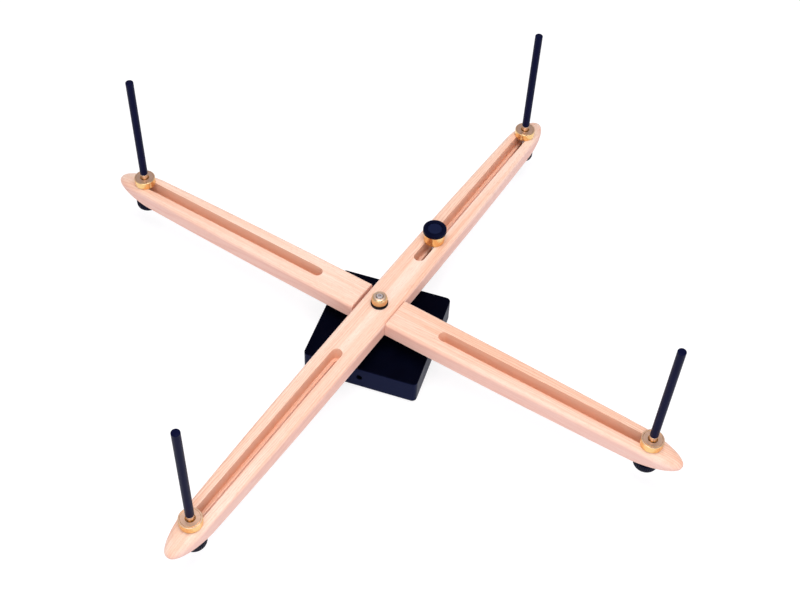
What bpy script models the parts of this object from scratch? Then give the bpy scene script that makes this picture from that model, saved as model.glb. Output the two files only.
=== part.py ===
# Yarn swift: two slotted wooden arms, crossed in a half-lap, spin on a heavy square base.
# Four pegs slide along the arms to hold a skein, each clamped by a knob under its arm, and a
# revolving knob on one arm turns the swift by hand.
#
# Metres, +Z up. The origin is on the table, under the spindle. +X runs along the lower arm and
# +Y along the upper arm. Pegs 1 to 4 stand towards +X, +Y, -X and -Y.

import math

import bmesh
import bpy
from mathutils import Matrix, Vector

# Clearances and the making of meshes
GAP = 0.0003  # between pieces that touch, and round screws, studs and journals
OVERRUN = 0.004  # how far a cutter runs past a face
WELD = 0.000001
SMOOTH_ANGLE = math.radians(32)
STEPS_FINE, STEPS_ROUND, STEPS_SMALL = 32, 20, 12  # sides of large, middling and small rounds
STEPS_BEARING = 16
STEPS_ARC = 3  # of a rounded edge
STEPS_TIP = 7  # sections along an arm's tip
STEPS_BOW = 12  # stretches of an arm between its tips

# Arms
ARM_SPAN = 0.610
ARM_WIDTH = 0.0342  # at the middle, from where the sides bow in towards both ends
ARM_END_SHARE = 0.725  # of that width, to which the bow would come at the very end
ARM_BOW_POWER = 2.4  # how late the bow sets in
ARM_THICKNESS = 0.019
ARM_EDGE_RADIUS = 0.0038
ARM_TIP_LENGTH = 0.040  # the rounded stretch at each end
ARM_TIP_POWER = 2.3  # 2 is an ellipse seen from above, and more is blunter
ARM_TIP_DROP_POWER = 2.6  # how late the tip's top and underside draw together
ARM_LIFT = 0.013  # from the base's top to the arms' underside
LAP_OPEN_GAP = 0.0018  # play on the -X side of the notch in the lower arm
LAP_EDGE_RADIUS = 0.0014  # rounding of that notch's top edges
SLOT_WIDTH = 0.0105
SLOT_NECK_WIDTH = 0.0046  # the narrower slot through the floor of the groove
SLOT_FLOOR = 0.0050
SLOT_INNER_END = 0.064  # from the swift's axis
SLOT_TIP_MARGIN = 0.024  # wood left between the slot and the arm's tip

# Base
BASE_SIDE = 0.1090
BASE_THICKNESS = 0.0255
BASE_CORNER_RADIUS = 0.0045
BASE_BEVEL = 0.0009
BASE_TURN = math.radians(14.3)  # how far the base is turned from the arms at rest
PAD_THICKNESS = 0.0015
PAD_INSET = 0.003
PAD_HOLE_RADIUS = 0.010

# Bearings, from the bottom of their pocket up
POCKET_FLOOR = 0.0034
BEARING_BORE = 0.008
BEARING_OUTSIDE = 0.016
BEARING_WIDTH = 0.005
BEARING_RING_SHARE = 0.30  # of the wall from bore to outside, for each ring
RACE_DEPTH = 0.0005
RACE_WIDTH_SHARE = 0.40  # of the bearing's width
BALLS = 7
BALL_RADIUS = 0.00095
CAGE_WIDTH = 0.0010
CAGE_HEIGHT = 0.0012
RING_THICKNESS = 0.0011
RING_WIDTH = 0.0022
RING_GROOVE_DEPTH = 0.0008
RING_OPENING = 0.006
RING_LAND = 0.0010  # from the ring's groove to the base's top

# Spindle and what it carries
FLANGE_RADIUS = 0.011
FLANGE_THICKNESS = 0.003
HUB_WASHER_THICKNESS = 0.001
SHANK_RADIUS = 0.004
THREAD_RADIUS = 0.003
THREAD_START = 0.0015  # the thread's start below the arms' top
THREAD_END = 0.0006  # how far the thread stands out of the centre nut
SPINDLE_CHAMFER = 0.0004
KEY_RADIUS = 0.0017  # to the corners of the hexagonal socket
KEY_DEPTH = 0.0025
RETAINER_WASHER = 0.0008
RETAINER_HEAD_RADIUS = 0.0034
RETAINER_HEAD_HEIGHT = 0.0020
RETAINER_THREAD_RADIUS = 0.0020
RETAINER_LENGTH = 0.008
CENTRE_WASHER_RADIUS = 0.0080
CENTRE_WASHER_THICKNESS = 0.0020
CENTRE_NUT_RADIUS = 0.0073
CENTRE_NUT_HEIGHT = 0.0080
CENTRE_NUT_KNURL_SHARE = 0.55  # of the nut's height
CENTRE_NUT_TOP_RADIUS = 0.0042

# Drag screw and pad, in the hole in the base's side
DRAG_SCREW_RADIUS = 0.0025
DRAG_SCREW_LENGTH = 0.012
DRAG_PAD_LENGTH = 0.005
DRAG_PAD_SHARE = 0.38  # the pad's radius, of the sleeve's length
DRAG_KEY_RADIUS = 0.0014
DRAG_KEY_DEPTH = 0.002

# Pegs
PEG_END_GAP = 0.00175  # from the slot's outer end to a peg at rest
PEG_HEIGHT = 0.1276  # above the arm's top
ROD_RADIUS = 0.0037
ROD_ROUNDING = 0.0008
ROD_HOLE_DEPTH = 0.0143
FERRULE_RADIUS = 0.0034
FERRULE_HEIGHT = 0.0050  # above its collar
FERRULE_CHAMFER = 0.0005
FERRULE_SOCKET_DEPTH = 0.0020
FERRULE_SOCKET_FLARE = 0.0007
COLLAR_RADIUS = 0.0100
COLLAR_HEIGHT = 0.0073
COLLAR_CHAMFER = 0.0006
COLLAR_BOSS_DEPTH = 0.0040  # the boss that rides in the slot
STUD_RADIUS = 0.0020
STUD_GRIP = 0.0050  # how far it reaches into the clamp knob
STUD_END_PLAY = 0.0010

# Clamp knobs, under the pegs and the revolving knob
KNOB_RADIUS = 0.0112
KNOB_HEIGHT = 0.0098
KNOB_ROUNDING = 0.0038
KNOB_CHAMFER = 0.0006
KNOB_DISH_RADIUS = 0.0068
KNOB_DISH_DEPTH = 0.0005
INSERT_RADIUS = 0.0040
INSERT_LENGTH = 0.0062
CLAMP_WASHER_RADIUS = 0.0080
CLAMP_WASHER_THICKNESS = 0.0008

# Revolving knob
SPINNER_PLACE = 0.0955  # from the swift's axis
SPINNER_COLLAR_HEIGHT = 0.0110
SPINNER_KNOB_HEIGHT = 0.0046
SPINNER_ROUNDING = 0.0010
SPINNER_SHOULDER_RADIUS = 0.0030
SPINNER_HEAD_RADIUS = 0.0045
SPINNER_HEAD_HEIGHT = 0.0014
SPINNER_CAP_THICKNESS = 0.0008

# Heights above the table
block_bottom = PAD_THICKNESS + GAP
block_top = block_bottom + BASE_THICKNESS
arm_bottom = block_top + ARM_LIFT
arm_top = arm_bottom + ARM_THICKNESS
lap_height = arm_bottom + ARM_THICKNESS / 2
groove_top = block_top - RING_LAND
groove_bottom = groove_top - RING_THICKNESS - 2 * GAP
pocket_bottom = block_bottom + POCKET_FLOOR
lower_bearing = pocket_bottom + GAP
upper_bearing = groove_bottom - BEARING_WIDTH
sleeve_bottom = lower_bearing + BEARING_WIDTH + GAP
sleeve_top = upper_bearing - GAP
drag_height = (sleeve_bottom + sleeve_top) / 2
flange_top = arm_bottom - HUB_WASHER_THICKNESS - 2 * GAP
centre_nut_bottom = arm_top + CENTRE_WASHER_THICKNESS + 2 * GAP
centre_nut_top = centre_nut_bottom + CENTRE_NUT_HEIGHT
collar_bottom = arm_top + GAP
collar_top = collar_bottom + COLLAR_HEIGHT
socket_bottom = collar_top - FERRULE_SOCKET_DEPTH
ferrule_top = collar_top + FERRULE_HEIGHT
rod_bottom = ferrule_top + GAP
rod_top = arm_top + PEG_HEIGHT
clamp_washer_bottom = arm_bottom - GAP - CLAMP_WASHER_THICKNESS
clamp_knob_top = clamp_washer_bottom - GAP
stud_bottom = clamp_knob_top - STUD_GRIP

# Distances from an axis
slot_start = SLOT_INNER_END + SLOT_WIDTH / 2
slot_end = ARM_SPAN / 2 - SLOT_TIP_MARGIN - SLOT_WIDTH / 2
peg_place = slot_end - PEG_END_GAP
bore = BEARING_BORE / 2
pocket = BEARING_OUTSIDE / 2 + GAP
ring_wall = (BEARING_OUTSIDE - BEARING_BORE) / 2 * BEARING_RING_SHARE
inner_land = bore + ring_wall
outer_land = BEARING_OUTSIDE / 2 - ring_wall
ball_circle = (inner_land + outer_land) / 2
insert_bore = STUD_RADIUS + GAP

finishes = {
    "maple": ((0.86, 0.60, 0.42), 0.45, 0.0),
    "black_lacquer": ((0.012, 0.012, 0.022), 0.35, 0.2),
    "black_rod": ((0.010, 0.011, 0.028), 0.30, 0.4),
    "brass": ((0.80, 0.55, 0.24), 0.22, 1.0),
    "steel": ((0.62, 0.60, 0.58), 0.25, 1.0),
    "black_plastic": ((0.010, 0.012, 0.022), 0.40, 0.0),
    "rubber": ((0.02, 0.02, 0.022), 0.85, 0.0),
    "nylon": ((0.75, 0.74, 0.70), 0.50, 0.0),
}


def clear_scene():
    for obj in list(bpy.data.objects):
        bpy.data.objects.remove(obj, do_unlink=True)


def make_material(name, finish):
    color, roughness, metallic = finishes[finish]
    material = bpy.data.materials.new(name)
    material.use_nodes = True
    material.diffuse_color = (*color, 1.0)
    shader = material.node_tree.nodes["Principled BSDF"]
    shader.inputs["Base Color"].default_value = (*color, 1.0)
    shader.inputs["Roughness"].default_value = roughness
    shader.inputs["Metallic"].default_value = metallic
    return material


def make_axis(name, place=(0, 0, 0), turn=0, parent=None):
    """An empty on a joint's axis, which carries what moves with it."""
    axis = bpy.data.objects.new(name, None)
    axis.location = place
    axis.rotation_euler = (0, 0, turn)
    axis.parent = parent
    bpy.context.scene.collection.objects.link(axis)
    return axis


def make_piece(name, mesh, finish, parent=None):
    piece = bpy.data.objects.new(name, mesh)
    piece.parent = parent
    if not mesh.materials:
        mesh.materials.append(make_material(name, finish))
    bpy.context.scene.collection.objects.link(piece)
    return piece


def make_cutter(name, mesh, parent=None):
    cutter = bpy.data.objects.new(name, mesh)
    cutter.parent = parent
    cutter.hide_render = True
    cutter.display_type = "WIRE"
    bpy.context.scene.collection.objects.link(cutter)
    return cutter


def combine(piece, other, operation="DIFFERENCE"):
    modifier = piece.modifiers.new(other.name, "BOOLEAN")
    modifier.operation = operation
    modifier.solver = "EXACT"
    modifier.object = other


def finish_mesh(bm, name):
    bmesh.ops.remove_doubles(bm, verts=bm.verts, dist=WELD)
    bmesh.ops.recalc_face_normals(bm, faces=bm.faces)
    mesh = bpy.data.meshes.new(name)
    bm.to_mesh(mesh)
    bm.free()
    mesh.shade_smooth()
    mesh.set_sharp_from_angle(angle=SMOOTH_ANGLE)
    return mesh


def turned(name, profile, steps=STEPS_ROUND):
    """A mesh turned about Z. A profile of (radius, height) that starts and ends on the axis
    makes a solid one, and any other is closed into a ring."""
    bm = bmesh.new()
    points = [bm.verts.new((radius, 0, height)) for radius, height in profile]
    if profile[0][0] > 0:
        points.append(points[0])
    edges = [bm.edges.new(pair) for pair in zip(points, points[1:])]
    bmesh.ops.spin(
        bm,
        geom=list(bm.verts) + edges,
        axis=(0, 0, 1),
        cent=(0, 0, 0),
        angle=2 * math.pi,
        steps=steps,
        use_merge=True,
    )
    return finish_mesh(bm, name)


def tube(name, inner, outer, low, high, steps=STEPS_ROUND):
    return turned(name, [(outer, high), (outer, low), (inner, low), (inner, high)], steps)


def cylinder(name, radius, low, high, steps=STEPS_ROUND):
    return turned(name, [(0, high), (radius, high), (radius, low), (0, low)], steps)


def arc(centre, radius, start, end, count):
    """Points of (across, height) along an arc, with its angles in degrees."""
    angles = [math.radians(start + (end - start) * step / count) for step in range(count + 1)]
    return [(centre[0] + radius * math.cos(a), centre[1] + radius * math.sin(a)) for a in angles]


def prism(name, outline, low, high):
    """An outline in X and Y, drawn up along Z."""
    bm = bmesh.new()
    face = bm.faces.new([bm.verts.new((x, y, low)) for x, y in outline])
    top = bmesh.ops.extrude_face_region(bm, geom=[face])
    moved = [item for item in top["geom"] if isinstance(item, bmesh.types.BMVert)]
    bmesh.ops.translate(bm, verts=moved, vec=(0, 0, high - low))
    return finish_mesh(bm, name)


def stadium(name, start, end, radius, low, high):
    """A prism with round ends, centred at start and end along X."""
    ends = arc((end, 0), radius, -90, 90, STEPS_SMALL // 2)
    ends += arc((start, 0), radius, 90, 270, STEPS_SMALL // 2)
    return prism(name, ends, low, high)


def hexagon(name, radius, low, high):
    return prism(name, arc((0, 0), radius, 0, 300, 5), low, high)


def box_shape(size_x, size_y, low, high, centre=(0, 0)):
    """A box from its plan's size and centre, and its lowest and highest levels."""
    bm = bmesh.new()
    bmesh.ops.create_cube(bm, size=1)
    bmesh.ops.scale(bm, verts=bm.verts, vec=(size_x, size_y, high - low))
    bmesh.ops.translate(bm, verts=bm.verts, vec=(*centre, (low + high) / 2))
    return bm


def aimed_along_y(mesh, height):
    """Lays a mesh made along +Z down along -Y, at a height."""
    mesh.transform(Matrix.Translation((0, 0, height)) @ Matrix.Rotation(math.pi / 2, 4, "X"))
    return mesh


def upright(edge):
    return abs((edge.verts[0].co - edge.verts[1].co).normalized().z) > math.cos(SMOOTH_ANGLE)


def rounded_block(name, side, low, high, bevel):
    bm = box_shape(side, side, low, high)
    corners = [edge for edge in bm.edges if upright(edge)]
    radius = min(BASE_CORNER_RADIUS, side / 2)
    bmesh.ops.bevel(bm, geom=corners, offset=radius, segments=5, profile=0.5, affect="EDGES")
    rims = [edge for edge in bm.edges if not upright(edge)]
    rims = [edge for edge in rims if edge.calc_face_angle(0) > SMOOTH_ANGLE]
    bmesh.ops.bevel(bm, geom=rims, offset=bevel, segments=2, profile=0.5, affect="EDGES")
    return finish_mesh(bm, name)


def make_base(base_axis):
    mesh = rounded_block("base_block", BASE_SIDE, block_bottom, block_top, BASE_BEVEL)
    base = make_piece("base_block", mesh, "black_lacquer", base_axis)
    groove = pocket + RING_GROOVE_DEPTH
    profile = [
        (0, block_top + OVERRUN),
        (pocket, block_top + OVERRUN),
        (pocket, groove_top),
        (groove, groove_top),
        (groove, groove_bottom),
        (pocket, groove_bottom),
        (pocket, pocket_bottom),
        (inner_land + RING_THICKNESS, pocket_bottom),
        (inner_land + RING_THICKNESS, block_bottom - OVERRUN),
        (0, block_bottom - OVERRUN),
    ]
    combine(base, make_cutter("pocket_cut", turned("pocket_cut", profile), base_axis))
    reach = BASE_SIDE / 2 + OVERRUN
    hole = cylinder("drag_cut", DRAG_SCREW_RADIUS + GAP, inner_land, reach, STEPS_SMALL)
    combine(base, make_cutter("drag_cut", aimed_along_y(hole, drag_height), base_axis))

    pad = rounded_block("base_pad", BASE_SIDE - 2 * PAD_INSET, 0, PAD_THICKNESS, PAD_THICKNESS / 5)
    pad = make_piece("base_pad", pad, "rubber", base_axis)
    access = cylinder("pad_cut", PAD_HOLE_RADIUS, -OVERRUN, PAD_THICKNESS + OVERRUN)
    combine(pad, make_cutter("pad_cut", access, base_axis))

    ring = tube(
        "retaining_ring",
        groove - RING_WIDTH,
        groove - GAP,
        groove_bottom + GAP,
        groove_top - GAP,
    )
    ring = make_piece("retaining_ring", ring, "steel", base_axis)
    bm = box_shape(RING_OPENING, 2 * pocket, groove_bottom, groove_top, (0, -pocket))
    combine(ring, make_cutter("ring_cut", finish_mesh(bm, "ring_cut"), base_axis))


def make_bearing(name, low, base_axis, rotor_axis):
    """A ball bearing: its outer ring stays in the base, its inner ring turns with the spindle."""
    high = low + BEARING_WIDTH
    middle = (low + high) / 2
    race = BEARING_WIDTH * RACE_WIDTH_SHARE / 2
    lip = race + RACE_DEPTH
    rings = (
        ("outer", BEARING_OUTSIDE / 2, outer_land, RACE_DEPTH, base_axis),
        ("inner", bore, inner_land, -RACE_DEPTH, rotor_axis),
    )
    for ring, plain, land, depth, axis in rings:
        profile = [
            (plain, high),
            (plain, low),
            (land, low),
            (land, middle - lip),
            (land + depth, middle - race),
            (land + depth, middle + race),
            (land, middle + lip),
            (land, high),
        ]
        node = f"{name}_bearing_{ring}"
        make_piece(node, turned(node, profile, STEPS_BEARING), "steel", axis)

    balls_axis = make_axis(f"{name}_balls_axis", parent=base_axis)
    half = CAGE_HEIGHT / 2
    cage = tube(
        f"{name}_bearing_balls",
        ball_circle - CAGE_WIDTH / 2,
        ball_circle + CAGE_WIDTH / 2,
        middle - half,
        middle + half,
        STEPS_BEARING,
    )
    cage = make_piece(f"{name}_bearing_balls", cage, "steel", balls_axis)
    bm = bmesh.new()
    for ball in range(BALLS):
        turn = Matrix.Rotation(2 * math.pi * ball / BALLS, 4, "Z")
        place = turn @ Matrix.Translation((ball_circle, 0, middle))
        bmesh.ops.create_uvsphere(
            bm, u_segments=6, v_segments=5, radius=BALL_RADIUS, matrix=place
        )
    balls = make_cutter(f"{name}_balls", finish_mesh(bm, f"{name}_balls"), balls_axis)
    combine(cage, balls, "UNION")


def make_spindle(rotor_axis):
    top = centre_nut_top + THREAD_END
    journal = bore - GAP
    profile = [
        (0, top),
        (THREAD_RADIUS - SPINDLE_CHAMFER, top),
        (THREAD_RADIUS, top - SPINDLE_CHAMFER),
        (THREAD_RADIUS, arm_top - THREAD_START),
        (SHANK_RADIUS, arm_top - THREAD_START),
        (SHANK_RADIUS, flange_top),
        (FLANGE_RADIUS, flange_top),
        (FLANGE_RADIUS, flange_top - FLANGE_THICKNESS),
        (inner_land, flange_top - FLANGE_THICKNESS),
        (inner_land, upper_bearing + BEARING_WIDTH + GAP),
        (journal, upper_bearing + BEARING_WIDTH + GAP),
        (journal, lower_bearing),
        (RETAINER_THREAD_RADIUS + GAP, lower_bearing),
        (RETAINER_THREAD_RADIUS + GAP, lower_bearing + RETAINER_LENGTH + GAP),
        (0, lower_bearing + RETAINER_LENGTH + GAP),
    ]
    spindle = make_piece("spindle", turned("spindle", profile), "steel", rotor_axis)
    key = hexagon("spindle_key_cut", KEY_RADIUS, top - KEY_DEPTH, top + OVERRUN)
    combine(spindle, make_cutter("spindle_key_cut", key, rotor_axis))

    sleeve = tube("bearing_sleeve", bore, inner_land, sleeve_bottom, sleeve_top)
    make_piece("bearing_sleeve", sleeve, "steel", rotor_axis)

    washer_top = lower_bearing - GAP
    washer_bottom = washer_top - RETAINER_WASHER
    hole = RETAINER_THREAD_RADIUS + GAP
    washer = tube("retaining_washer", hole, inner_land, washer_bottom, washer_top)
    make_piece("retaining_washer", washer, "steel", rotor_axis)

    head_top = washer_bottom - GAP
    head_bottom = head_top - RETAINER_HEAD_HEIGHT
    profile = [
        (0, lower_bearing + RETAINER_LENGTH),
        (RETAINER_THREAD_RADIUS, lower_bearing + RETAINER_LENGTH),
        (RETAINER_THREAD_RADIUS, head_top),
        (RETAINER_HEAD_RADIUS, head_top),
        (RETAINER_HEAD_RADIUS, head_bottom + SPINDLE_CHAMFER),
        (RETAINER_HEAD_RADIUS - SPINDLE_CHAMFER, head_bottom),
        (0, head_bottom),
    ]
    screw = turned("retaining_screw", profile)
    screw = make_piece("retaining_screw", screw, "steel", rotor_axis)
    socket_top = head_bottom + RETAINER_HEAD_HEIGHT / 2
    key = hexagon("retaining_key_cut", KEY_RADIUS, head_bottom - OVERRUN, socket_top)
    combine(screw, make_cutter("retaining_key_cut", key, rotor_axis))

    hub = tube("hub_washer", SHANK_RADIUS + GAP, FLANGE_RADIUS, flange_top + GAP, arm_bottom - GAP)
    make_piece("hub_washer", hub, "rubber", rotor_axis)


def make_centre_nut(rotor_axis):
    hole = THREAD_RADIUS + GAP
    washer = tube(
        "centre_washer",
        hole,
        CENTRE_WASHER_RADIUS,
        arm_top + GAP,
        arm_top + GAP + CENTRE_WASHER_THICKNESS,
    )
    make_piece("centre_washer", washer, "black_plastic", rotor_axis)

    knurl_top = centre_nut_bottom + CENTRE_NUT_HEIGHT * CENTRE_NUT_KNURL_SHARE
    rise = centre_nut_top - knurl_top
    fall = CENTRE_NUT_RADIUS - CENTRE_NUT_TOP_RADIUS
    quarter = arc((0, 0), 1, 90, 0, STEPS_ARC)
    shoulder = [(CENTRE_NUT_TOP_RADIUS + fall * x, knurl_top + rise * y) for x, y in quarter]
    foot = SPINDLE_CHAMFER
    profile = shoulder + [
        (CENTRE_NUT_RADIUS, centre_nut_bottom + foot),
        (CENTRE_NUT_RADIUS - foot, centre_nut_bottom),
        (hole, centre_nut_bottom),
        (hole, centre_nut_top),
    ]
    nut_axis = make_axis("centre_nut_axis", parent=rotor_axis)
    make_piece("centre_nut", turned("centre_nut", profile, STEPS_FINE), "brass", nut_axis)


def arm_section(place):
    """The closed outline of the arm, across its length at place, as (y, z) points."""
    inset = max(0, 1 - (ARM_SPAN / 2 - abs(place)) / ARM_TIP_LENGTH)
    bow = 1 - (1 - ARM_END_SHARE) * (abs(place) * 2 / ARM_SPAN) ** ARM_BOW_POWER
    nose = (1 - inset**ARM_TIP_POWER) ** (1 / ARM_TIP_POWER)
    half_width = ARM_WIDTH / 2 * bow * nose
    half_height = ARM_THICKNESS / 2 * math.sqrt(1 - inset**ARM_TIP_DROP_POWER)
    edge = min(ARM_EDGE_RADIUS, ARM_THICKNESS / 2, ARM_WIDTH / 2)
    round_y = min(half_width, edge + (half_width - edge) * inset)
    round_z = min(half_height, edge + (half_height - edge) * inset)
    middle = (arm_bottom + arm_top) / 2
    points = []
    for quarter in range(4):
        side = 1 if quarter in (0, 3) else -1
        rise = 1 if quarter in (0, 1) else -1
        for across, up in arc((0, 0), 1, 90 * quarter, 90 * quarter + 90, STEPS_ARC):
            y = side * (half_width - round_y) + round_y * across
            z = middle + rise * (half_height - round_z) + round_z * up
            points.append((y, z))
    return points


def arm_mesh(name):
    """The arm's bar, lofted through its sections, with a rounded nose at each end."""
    bm = bmesh.new()
    tip = [1 - math.sin(math.pi / 2 * step / STEPS_TIP) for step in range(STEPS_TIP)]
    ends = [ARM_SPAN / 2 - ARM_TIP_LENGTH * share for share in tip]
    straight = ARM_SPAN / 2 - ARM_TIP_LENGTH
    between = [straight * (2 * step / STEPS_BOW - 1) for step in range(1, STEPS_BOW)]
    places = [-end for end in reversed(ends)] + between + ends
    rings = []
    for place in places:
        rings.append([bm.verts.new((place, y, z)) for y, z in arm_section(place)])
    for one, other in zip(rings, rings[1:]):
        for index in range(len(one)):
            corners = (one[index - 1], one[index], other[index], other[index - 1])
            bm.faces.new(corners)
    for ring, end in ((rings[0], -ARM_SPAN / 2), (rings[-1], ARM_SPAN / 2)):
        point = bm.verts.new((end, 0, (arm_bottom + arm_top) / 2))
        for index in range(len(ring)):
            bm.faces.new((ring[index - 1], ring[index], point))
    return finish_mesh(bm, name)


def notch_outline():
    """The lower arm's notch, as (x, z), with its top edges rounded over. The rounding crosses
    the arm's top at a slant, half a gap above where it would only touch it."""
    right = ARM_WIDTH / 2 + GAP
    left = -ARM_WIDTH / 2 - LAP_OPEN_GAP
    radius = LAP_EDGE_RADIUS
    height = arm_top - radius + GAP / 2
    above = arm_top + OVERRUN
    over_right = arc((right + radius, height), radius, 180, 90, STEPS_ARC)
    over_left = arc((left - radius, height), radius, 90, 0, STEPS_ARC)
    floor = [(left, lap_height), (right, lap_height)]
    return over_right + [(right + radius, above), (left - radius, above)] + over_left + floor


def make_arm(name, turn, lap, rotor_axis):
    arm_axis = make_axis(f"{name}_axis", turn=turn, parent=rotor_axis)
    arm = make_piece(name, arm_mesh(name), "maple", arm_axis)
    combine(arm, make_cutter(f"{name}_lap_cut", lap, rotor_axis))
    bottom, top = arm_bottom - OVERRUN, arm_top + OVERRUN
    hole = cylinder(f"{name}_bore_cut", SHANK_RADIUS + GAP, bottom, top)
    combine(arm, make_cutter(f"{name}_bore_cut", hole, arm_axis))
    for end, direction in (("front", 1), ("back", -1)):
        start, stop = sorted((direction * slot_start, direction * slot_end))
        levels = (
            ("groove", SLOT_WIDTH, arm_bottom + SLOT_FLOOR),
            ("neck", SLOT_NECK_WIDTH, bottom),
        )
        for level, width, low in levels:
            label = f"{name}_{end}_{level}_cut"
            shape = stadium(label, start, stop, width / 2, low, top)
            combine(arm, make_cutter(label, shape, arm_axis))


def make_arms(rotor_axis):
    lower_lap = prism("lower_arm_lap_cut", notch_outline(), -ARM_WIDTH, ARM_WIDTH)
    lower_lap.transform(Matrix.Rotation(math.pi / 2, 4, "X"))
    make_arm("lower_arm", 0, lower_lap, rotor_axis)
    span = ARM_WIDTH + 2 * GAP
    bm = box_shape(2 * ARM_WIDTH, span, arm_bottom - OVERRUN, lap_height + GAP)
    make_arm("upper_arm", math.pi / 2, finish_mesh(bm, "upper_arm_lap_cut"), rotor_axis)


def collar_mesh(name, top):
    """The turned collar, with a socket in its top and a boss that rides in the slot."""
    boss = SLOT_WIDTH / 2 - GAP
    socket = FERRULE_RADIUS + GAP
    floor = top - FERRULE_SOCKET_DEPTH
    profile = [
        (socket + FERRULE_SOCKET_FLARE, top),
        (COLLAR_RADIUS - COLLAR_CHAMFER, top),
        (COLLAR_RADIUS, top - COLLAR_CHAMFER),
        (COLLAR_RADIUS, collar_bottom),
        (boss, collar_bottom),
        (boss, collar_bottom - COLLAR_BOSS_DEPTH),
        (STUD_RADIUS + GAP, collar_bottom - COLLAR_BOSS_DEPTH),
        (STUD_RADIUS + GAP, floor),
        (socket, floor),
        (socket, top - FERRULE_SOCKET_FLARE),
    ]
    return turned(name, profile)


def ferrule_mesh():
    low, high = socket_bottom + GAP, ferrule_top
    chamfer = FERRULE_CHAMFER
    profile = [
        (FERRULE_RADIUS - chamfer, high),
        (FERRULE_RADIUS, high - chamfer),
        (FERRULE_RADIUS, low),
        (STUD_RADIUS + GAP, low),
        (STUD_RADIUS + GAP, high),
    ]
    return turned("peg_ferrule", profile, STEPS_SMALL)


def rod_mesh():
    rounding = min(ROD_ROUNDING, ROD_RADIUS)
    crown = arc((ROD_RADIUS - rounding, rod_top - rounding), rounding, 90, 0, STEPS_ARC)
    hole = STUD_RADIUS + GAP
    foot = [
        (ROD_RADIUS, rod_bottom),
        (hole, rod_bottom),
        (hole, rod_bottom + ROD_HOLE_DEPTH),
        (0, rod_bottom + ROD_HOLE_DEPTH),
    ]
    return turned("peg_rod", [(0, rod_top)] + crown + foot, STEPS_SMALL)


def stud_mesh():
    top = rod_bottom + ROD_HOLE_DEPTH - STUD_END_PLAY
    return cylinder("peg_stud", STUD_RADIUS, stud_bottom, top, STEPS_SMALL)


def knob_side(face, rim, direction, rounding):
    """A knob's outside from its dished face to the rim that lies against its neighbour.
    Direction is 1 where the face is on top and -1 where it is underneath."""
    rounding = min(rounding, KNOB_RADIUS - KNOB_DISH_RADIUS - KNOB_DISH_DEPTH)
    centre = (KNOB_RADIUS - rounding, face - direction * rounding)
    crown = arc(centre, rounding, direction * 90, 0, STEPS_ARC)
    edge = [(KNOB_RADIUS, rim + direction * KNOB_CHAMFER), (KNOB_RADIUS - KNOB_CHAMFER, rim)]
    return crown + edge


def clamp_knob_mesh():
    low = clamp_knob_top - KNOB_HEIGHT
    pocket_floor = clamp_knob_top - INSERT_LENGTH - GAP
    dish = [
        (0, low + KNOB_DISH_DEPTH),
        (KNOB_DISH_RADIUS, low + KNOB_DISH_DEPTH),
        (KNOB_DISH_RADIUS + KNOB_DISH_DEPTH, low),
    ]
    pocket_wall = [
        (INSERT_RADIUS + GAP, clamp_knob_top),
        (INSERT_RADIUS + GAP, pocket_floor),
        (0, pocket_floor),
    ]
    side = knob_side(low, clamp_knob_top, -1, KNOB_ROUNDING)
    return turned("clamp_knob", dish + side + pocket_wall)


def make_clamp(number, meshes, carrier):
    """The washer, and the knob with its insert, that clamp a peg from under its arm."""
    washer_axis = make_axis(f"clamp_washer_axis_{number}", parent=carrier)
    make_piece(f"clamp_washer_{number}", meshes["washer"], "steel", washer_axis)
    knob_axis = make_axis(f"clamp_knob_axis_{number}", parent=washer_axis)
    make_piece(f"clamp_knob_{number}", meshes["knob"], "black_plastic", knob_axis)
    make_piece(f"clamp_insert_{number}", meshes["insert"], "brass", knob_axis)


def make_peg(number, meshes, rotor_axis):
    turn = math.pi / 2 * (number - 1)
    place = Matrix.Rotation(turn, 3, "Z") @ Vector((peg_place, 0, 0))
    peg_axis = make_axis(f"peg_axis_{number}", place, turn, rotor_axis)
    make_piece(f"peg_rod_{number}", meshes["rod"], "black_rod", peg_axis)
    make_piece(f"peg_ferrule_{number}", meshes["ferrule"], "brass", peg_axis)
    make_piece(f"peg_collar_{number}", meshes["collar"], "brass", peg_axis)
    make_piece(f"peg_stud_{number}", meshes["stud"], "steel", peg_axis)
    make_clamp(number, meshes, peg_axis)


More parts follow.
